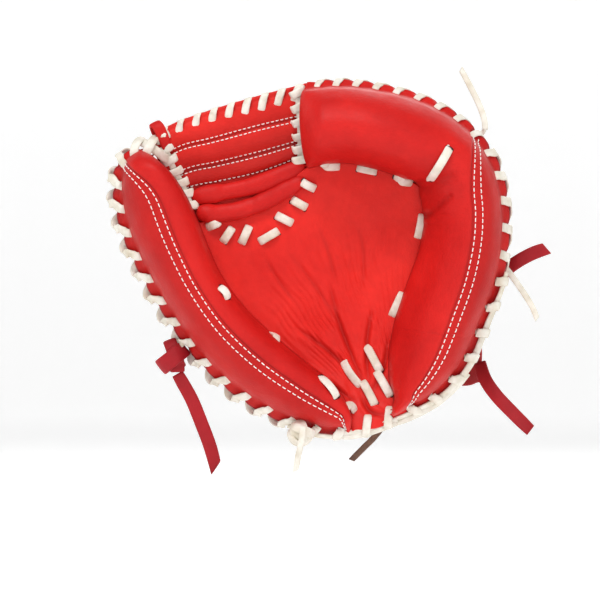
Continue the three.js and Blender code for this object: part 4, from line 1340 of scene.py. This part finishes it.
# ------------------------------------------------------------------ inside the hand
def make_inside():
    back_of_palm = 14.4
    thumb_lining = Surface(through(
        np.array([(24, -8, 11), (21, 3, 35), (17, 10, 62), (12, 13, 92), (7, 14, 125), (1, 13.6, 155),
                  (-5, 12.2, 180)]) + (0, back_of_palm - 4.0, 0),
        even([p for p in THUMB_BASE], 7) + (0, back_of_palm - 0.8, 0),
        even([tuple(np.array(e) * 0.70 + np.array(b) * 0.30) for e, b in zip(THUMB_EDGE, THUMB_BASE)], 7)
        + (0, 9, 0)), BACK_OUT)
    finger_lining = Surface(through(
        [(22, 6, 14), (17, 18, 38), (13, 26, 70), (7, 28, 110), (0, 27, 145), (-6, 22, 180), (-10, 12, 210),
         (-10, 3, 236)],
        [(33, 6, 18), (32, 18, 45), (32, 25, 80), (33, 27, 115), (32, 25, 150), (30, 19, 185), (34, 11, 213),
         (38, 3, 234)],
        [(44, 9, 24), (45, 17, 50), (52, 22, 84), (62, 24, 115), (70, 22, 145), (72, 17, 175), (78, 10, 200),
         (80, 3, 218)],
        [(52, 9, 30), (78, 9, 48), (98, 9, 80), (108, 8, 115), (112, 6, 145), (111, 4, 172), (106, 2, 190),
         (94, 1, 208)]), BACK_OUT)
    for name, surface, seed in (("palm_lining_thumb", thumb_lining, 81),
                                ("palm_lining_finger", finger_lining, 83)):
        grid = surface.grid(np.linspace(0, 1, 90), np.linspace(0, 1, 60)) + BACK_OUT * 1.4
        relief = 0.5 * value_noise(grid, (9, 9, 14), seed) + 0.9 * value_noise(grid, (28, 28, 40), seed + 1)
        piece = shell(name, grid, BACK_OUT, LINING_THICK, "lining_leather", relief)
        settle(piece, PALM_FOLD, name)
    for name, body, centre, points in (
            ("thumb_loop", THUMB, (-77, 24, 108),
             [(-89, 24.5, 108), (-88, 27, 108), (-82, 30.5, 108), (-75, 33.5, 108), (-67, 35, 108),
              (-61, 33.5, 108), (-59, 29.5, 108)]),
            ("little_finger_loop", FINGER, (86, 24, 108),
             [(98, 18, 108), (99, 26, 108), (95, 33, 108), (86, 37, 108), (77, 36, 108), (72, 32, 108),
              (71, 28, 108)])):
        path = smooth(points, np.linspace(0, 1, 60))
        rows = np.linspace(-7, 7, 20)
        grid = path[:, None] + np.array([0, 0, 1.0]) * rows[None, :, None]
        out = unit((path - np.array(centre)) * (1, 1, 0))
        grid = grid + out[:, None] * (0.7 + 0.4 * np.cos(rows / 7 * 1.5)[None, :, None])
        relief = 0.2 * value_noise(grid, (6, 6, 6), 85)
        piece = shell(name, grid, BACK_OUT, LINING_THICK, "lining_leather", relief)
        settle(piece, body, name)
        pile = Pile()
        for row in (2, 17):
            stitch_row(pile, grid[:, row] + out * 0.2, out, 2.8, 2.0)
        pile.settle(name + "_stitching", "thread", body)


def make_felts():
    """The wool felt inside each roll and behind the palm."""
    for name, surface, body, span in (("thumb_felt_pad", THUMB_ROLL, THUMB, (0.05, 0.93)),
                                      ("finger_felt_pad", OUTER_ROLL, FINGER, (0.05, 0.36)),
                                      ("little_finger_felt_pad", OUTER_ROLL, FINGER, (0.40, 0.95))):
        u, v = np.linspace(*span, 70), np.linspace(0.16, 0.93, 40)
        grid = surface.grid(u, v)
        front = grid - grid_normals(grid, UP) * 5.0
        first, last = surface.at(u, 0.12), surface.at(u, 0.99)
        share = np.linspace(0.10, 0.90, 40)[None, :, None]
        floor = first[:, None] * (1 - share) + last[:, None] * share
        floor[..., 1] = np.maximum(floor[..., 1], front[..., 1] + 0.8)
        front = front + grid_normals(front, UP) * (0.4 * value_noise(front, (7, 7, 7), 91))[..., None]
        piece = closed_between(name, front, floor, "felt")
        settle(piece, body, name)
    for name, span, body in (("palm_felt_thumb", (0.06, 0.44), THUMB),
                             ("palm_felt_finger", (0.56, 0.94), FINGER)):
        u, v = np.linspace(0.07, 0.94, 70), np.linspace(*span, 40)
        front = PALM.grid(u, v) + BACK_OUT * 3.8
        swell = from_sides(u, v, 0.05, 0.03)
        depth = 7.6 * np.sqrt(np.clip(swell, 0.08, 1)) + 0.4 * value_noise(front, (7, 7, 7), 93)
        piece = closed_between(name, front, front + BACK_OUT * depth[..., None], "felt")
        settle(piece, body, name)


def make_knots():
    """The red tie's folded knot, the heel lace's knot and the tab folded over the web's corner."""

    def turn(points, normals, width, thickness):
        strip(pile, points, normals, 30, width, thickness, 0.95, 12)

    pile = Pile()
    # The lower fold lies over the tail, and the upper one stands out behind it.
    turn([(-101.5, 2.5, 64), (-106, -3.2, 60.5), (-112, -4.4, 55.5), (-117, -1.0, 51.5), (-118.5, 5, 50.5),
          (-114, 9.5, 54), (-106, 9.5, 60)],
         [(0.4, -1, 0.4), (0.1, -1, 0), (-0.2, -1, 0), (-1, -0.6, -0.7), (-1, 0.3, -0.8), (0, 1, 0),
          (0.2, 1, 0)], 12, 2.4)
    turn([(-105, 6, 50), (-106.5, -0.5, 53.5), (-109, -1.6, 60), (-111, -1.0, 65.5), (-112.5, 3.5, 69.0),
          (-110.5, 8, 64), (-108, 9, 57)],
         [(0.3, -1, -0.4), (0, -1, -0.1), (0, -1, 0.1), (-0.3, -0.9, 0.6), (-0.4, 0.1, 1), (0, 1, 0.4),
          (0, 1, 0)], 9.5, 2.4)
    turn([(-107.5, 1.6, 57), (-107.2, 0.8, 52.5), (-106.8, 2.0, 47.4)],
         [(0, -1, 0), (0, -1, 0), (-0.1, -1, 0)], 10.5, 2.4)
    pile.settle("tie_knot", "red_tie", THUMB, "tie_knot")

    pile = Pile()
    t = np.linspace(0, 1, 30)
    core = smooth([(-27, -9, 7), (-20, -11, 4.5), (-13, -9, 3)], t)
    pile.add(*tube(core, 5.2 * np.sin(np.pi * (0.12 + 0.76 * t)) ** 0.5))
    turn([(-27, -8, 9), (-24.5, -14.5, 9.5), (-19, -17.6, 7.5), (-13.5, -15.5, 5), (-11.5, -9.5, 4)],
         [(-1, -0.4, 0.3), (-0.6, -1, 0.4), (0, -1, 0), (0.6, -1, -0.3), (1, -0.3, -0.3)], 6.6, 2.0)
    turn([(-29, -5, 5), (-26.5, -11.5, 0.5), (-22, -12.5, -2.5), (-17, -11.8, -1.5), (-13.5, -8, 1.5)],
         [(-1, -0.4, 0), (-0.6, -1, -0.6), (0, -0.7, -1), (0.4, -0.8, -1), (1, -0.5, -0.5)], 6.2, 2.0)
    turn([(-23, -7, 13), (-19.5, -14.2, 12.0), (-18.2, -17.4, 8.5), (-18.6, -15.0, 1.0), (-19, -10, -0.5)],
         [(0, -0.6, 1), (0, -1, 0.5), (0, -1, 0), (0, -1, -0.4), (0, -0.4, -1)], 5.0, 1.8)
    pile.settle("heel_lace_knot", "cream_lace", THUMB, "heel_lace_knot")

    pile = Pile()
    turn([(-112.5, -8.6, 201.5), (-114.5, -13, 207), (-117, -15.5, 213), (-119.5, -16, 218),
          (-122, -13, 220.5), (-122, -8, 218.5), (-120, -5, 213)],
         [(0.3, -1, -0.1), (0.2, -1, 0.2), (0.1, -1, 0.2), (-0.2, -1, 0.7), (-0.6, -0.1, 1), (-0.3, 1, 0.5),
          (0, 1, 0)], 8.2, 2.4)
    pile.settle("web_tab", "red_leather", THUMB, "web_tab")


make_materials()
set_camera()
make_tails()
set_lights()
add_floor()

make_roll("thumb_rim_panel", THUMB_ROLL, THUMB_LACED, thumb_seam, 11, THUMB, ["thumb_rim_panel"], 300)
make_roll("little_finger_rim_panel", OUTER_ROLL, OUTER_LACED, outer_seam, 15, FINGER,
          ["little_finger_rim_panel", "finger_pad_cover"], 420, pad_corner, 5.0)
make_palm()
make_web()
thumb_thread = Pile()
leather_front = Front(fronts)
double_row(thumb_thread, leather_front, THUMB_ROLL, THUMB_SEAM, THUMB_HOOKS)
finger_thread = Pile()
double_row(finger_thread, leather_front, OUTER_ROLL, OUTER_SEAM, OUTER_HOOKS)
thumb_thread.settle("stitching_thumb", "thread", THUMB)
finger_thread.settle("stitching_finger", "thread", FINGER)

make_laces(leather_front)
make_web_sides()
make_edge_laces()
make_heel_bridge()
make_backs()
make_bindings()
make_web_back()
make_strap()
make_hood()
make_inside()
make_felts()
make_knots()

bpy.context.scene.view_settings.view_transform = "Standard"
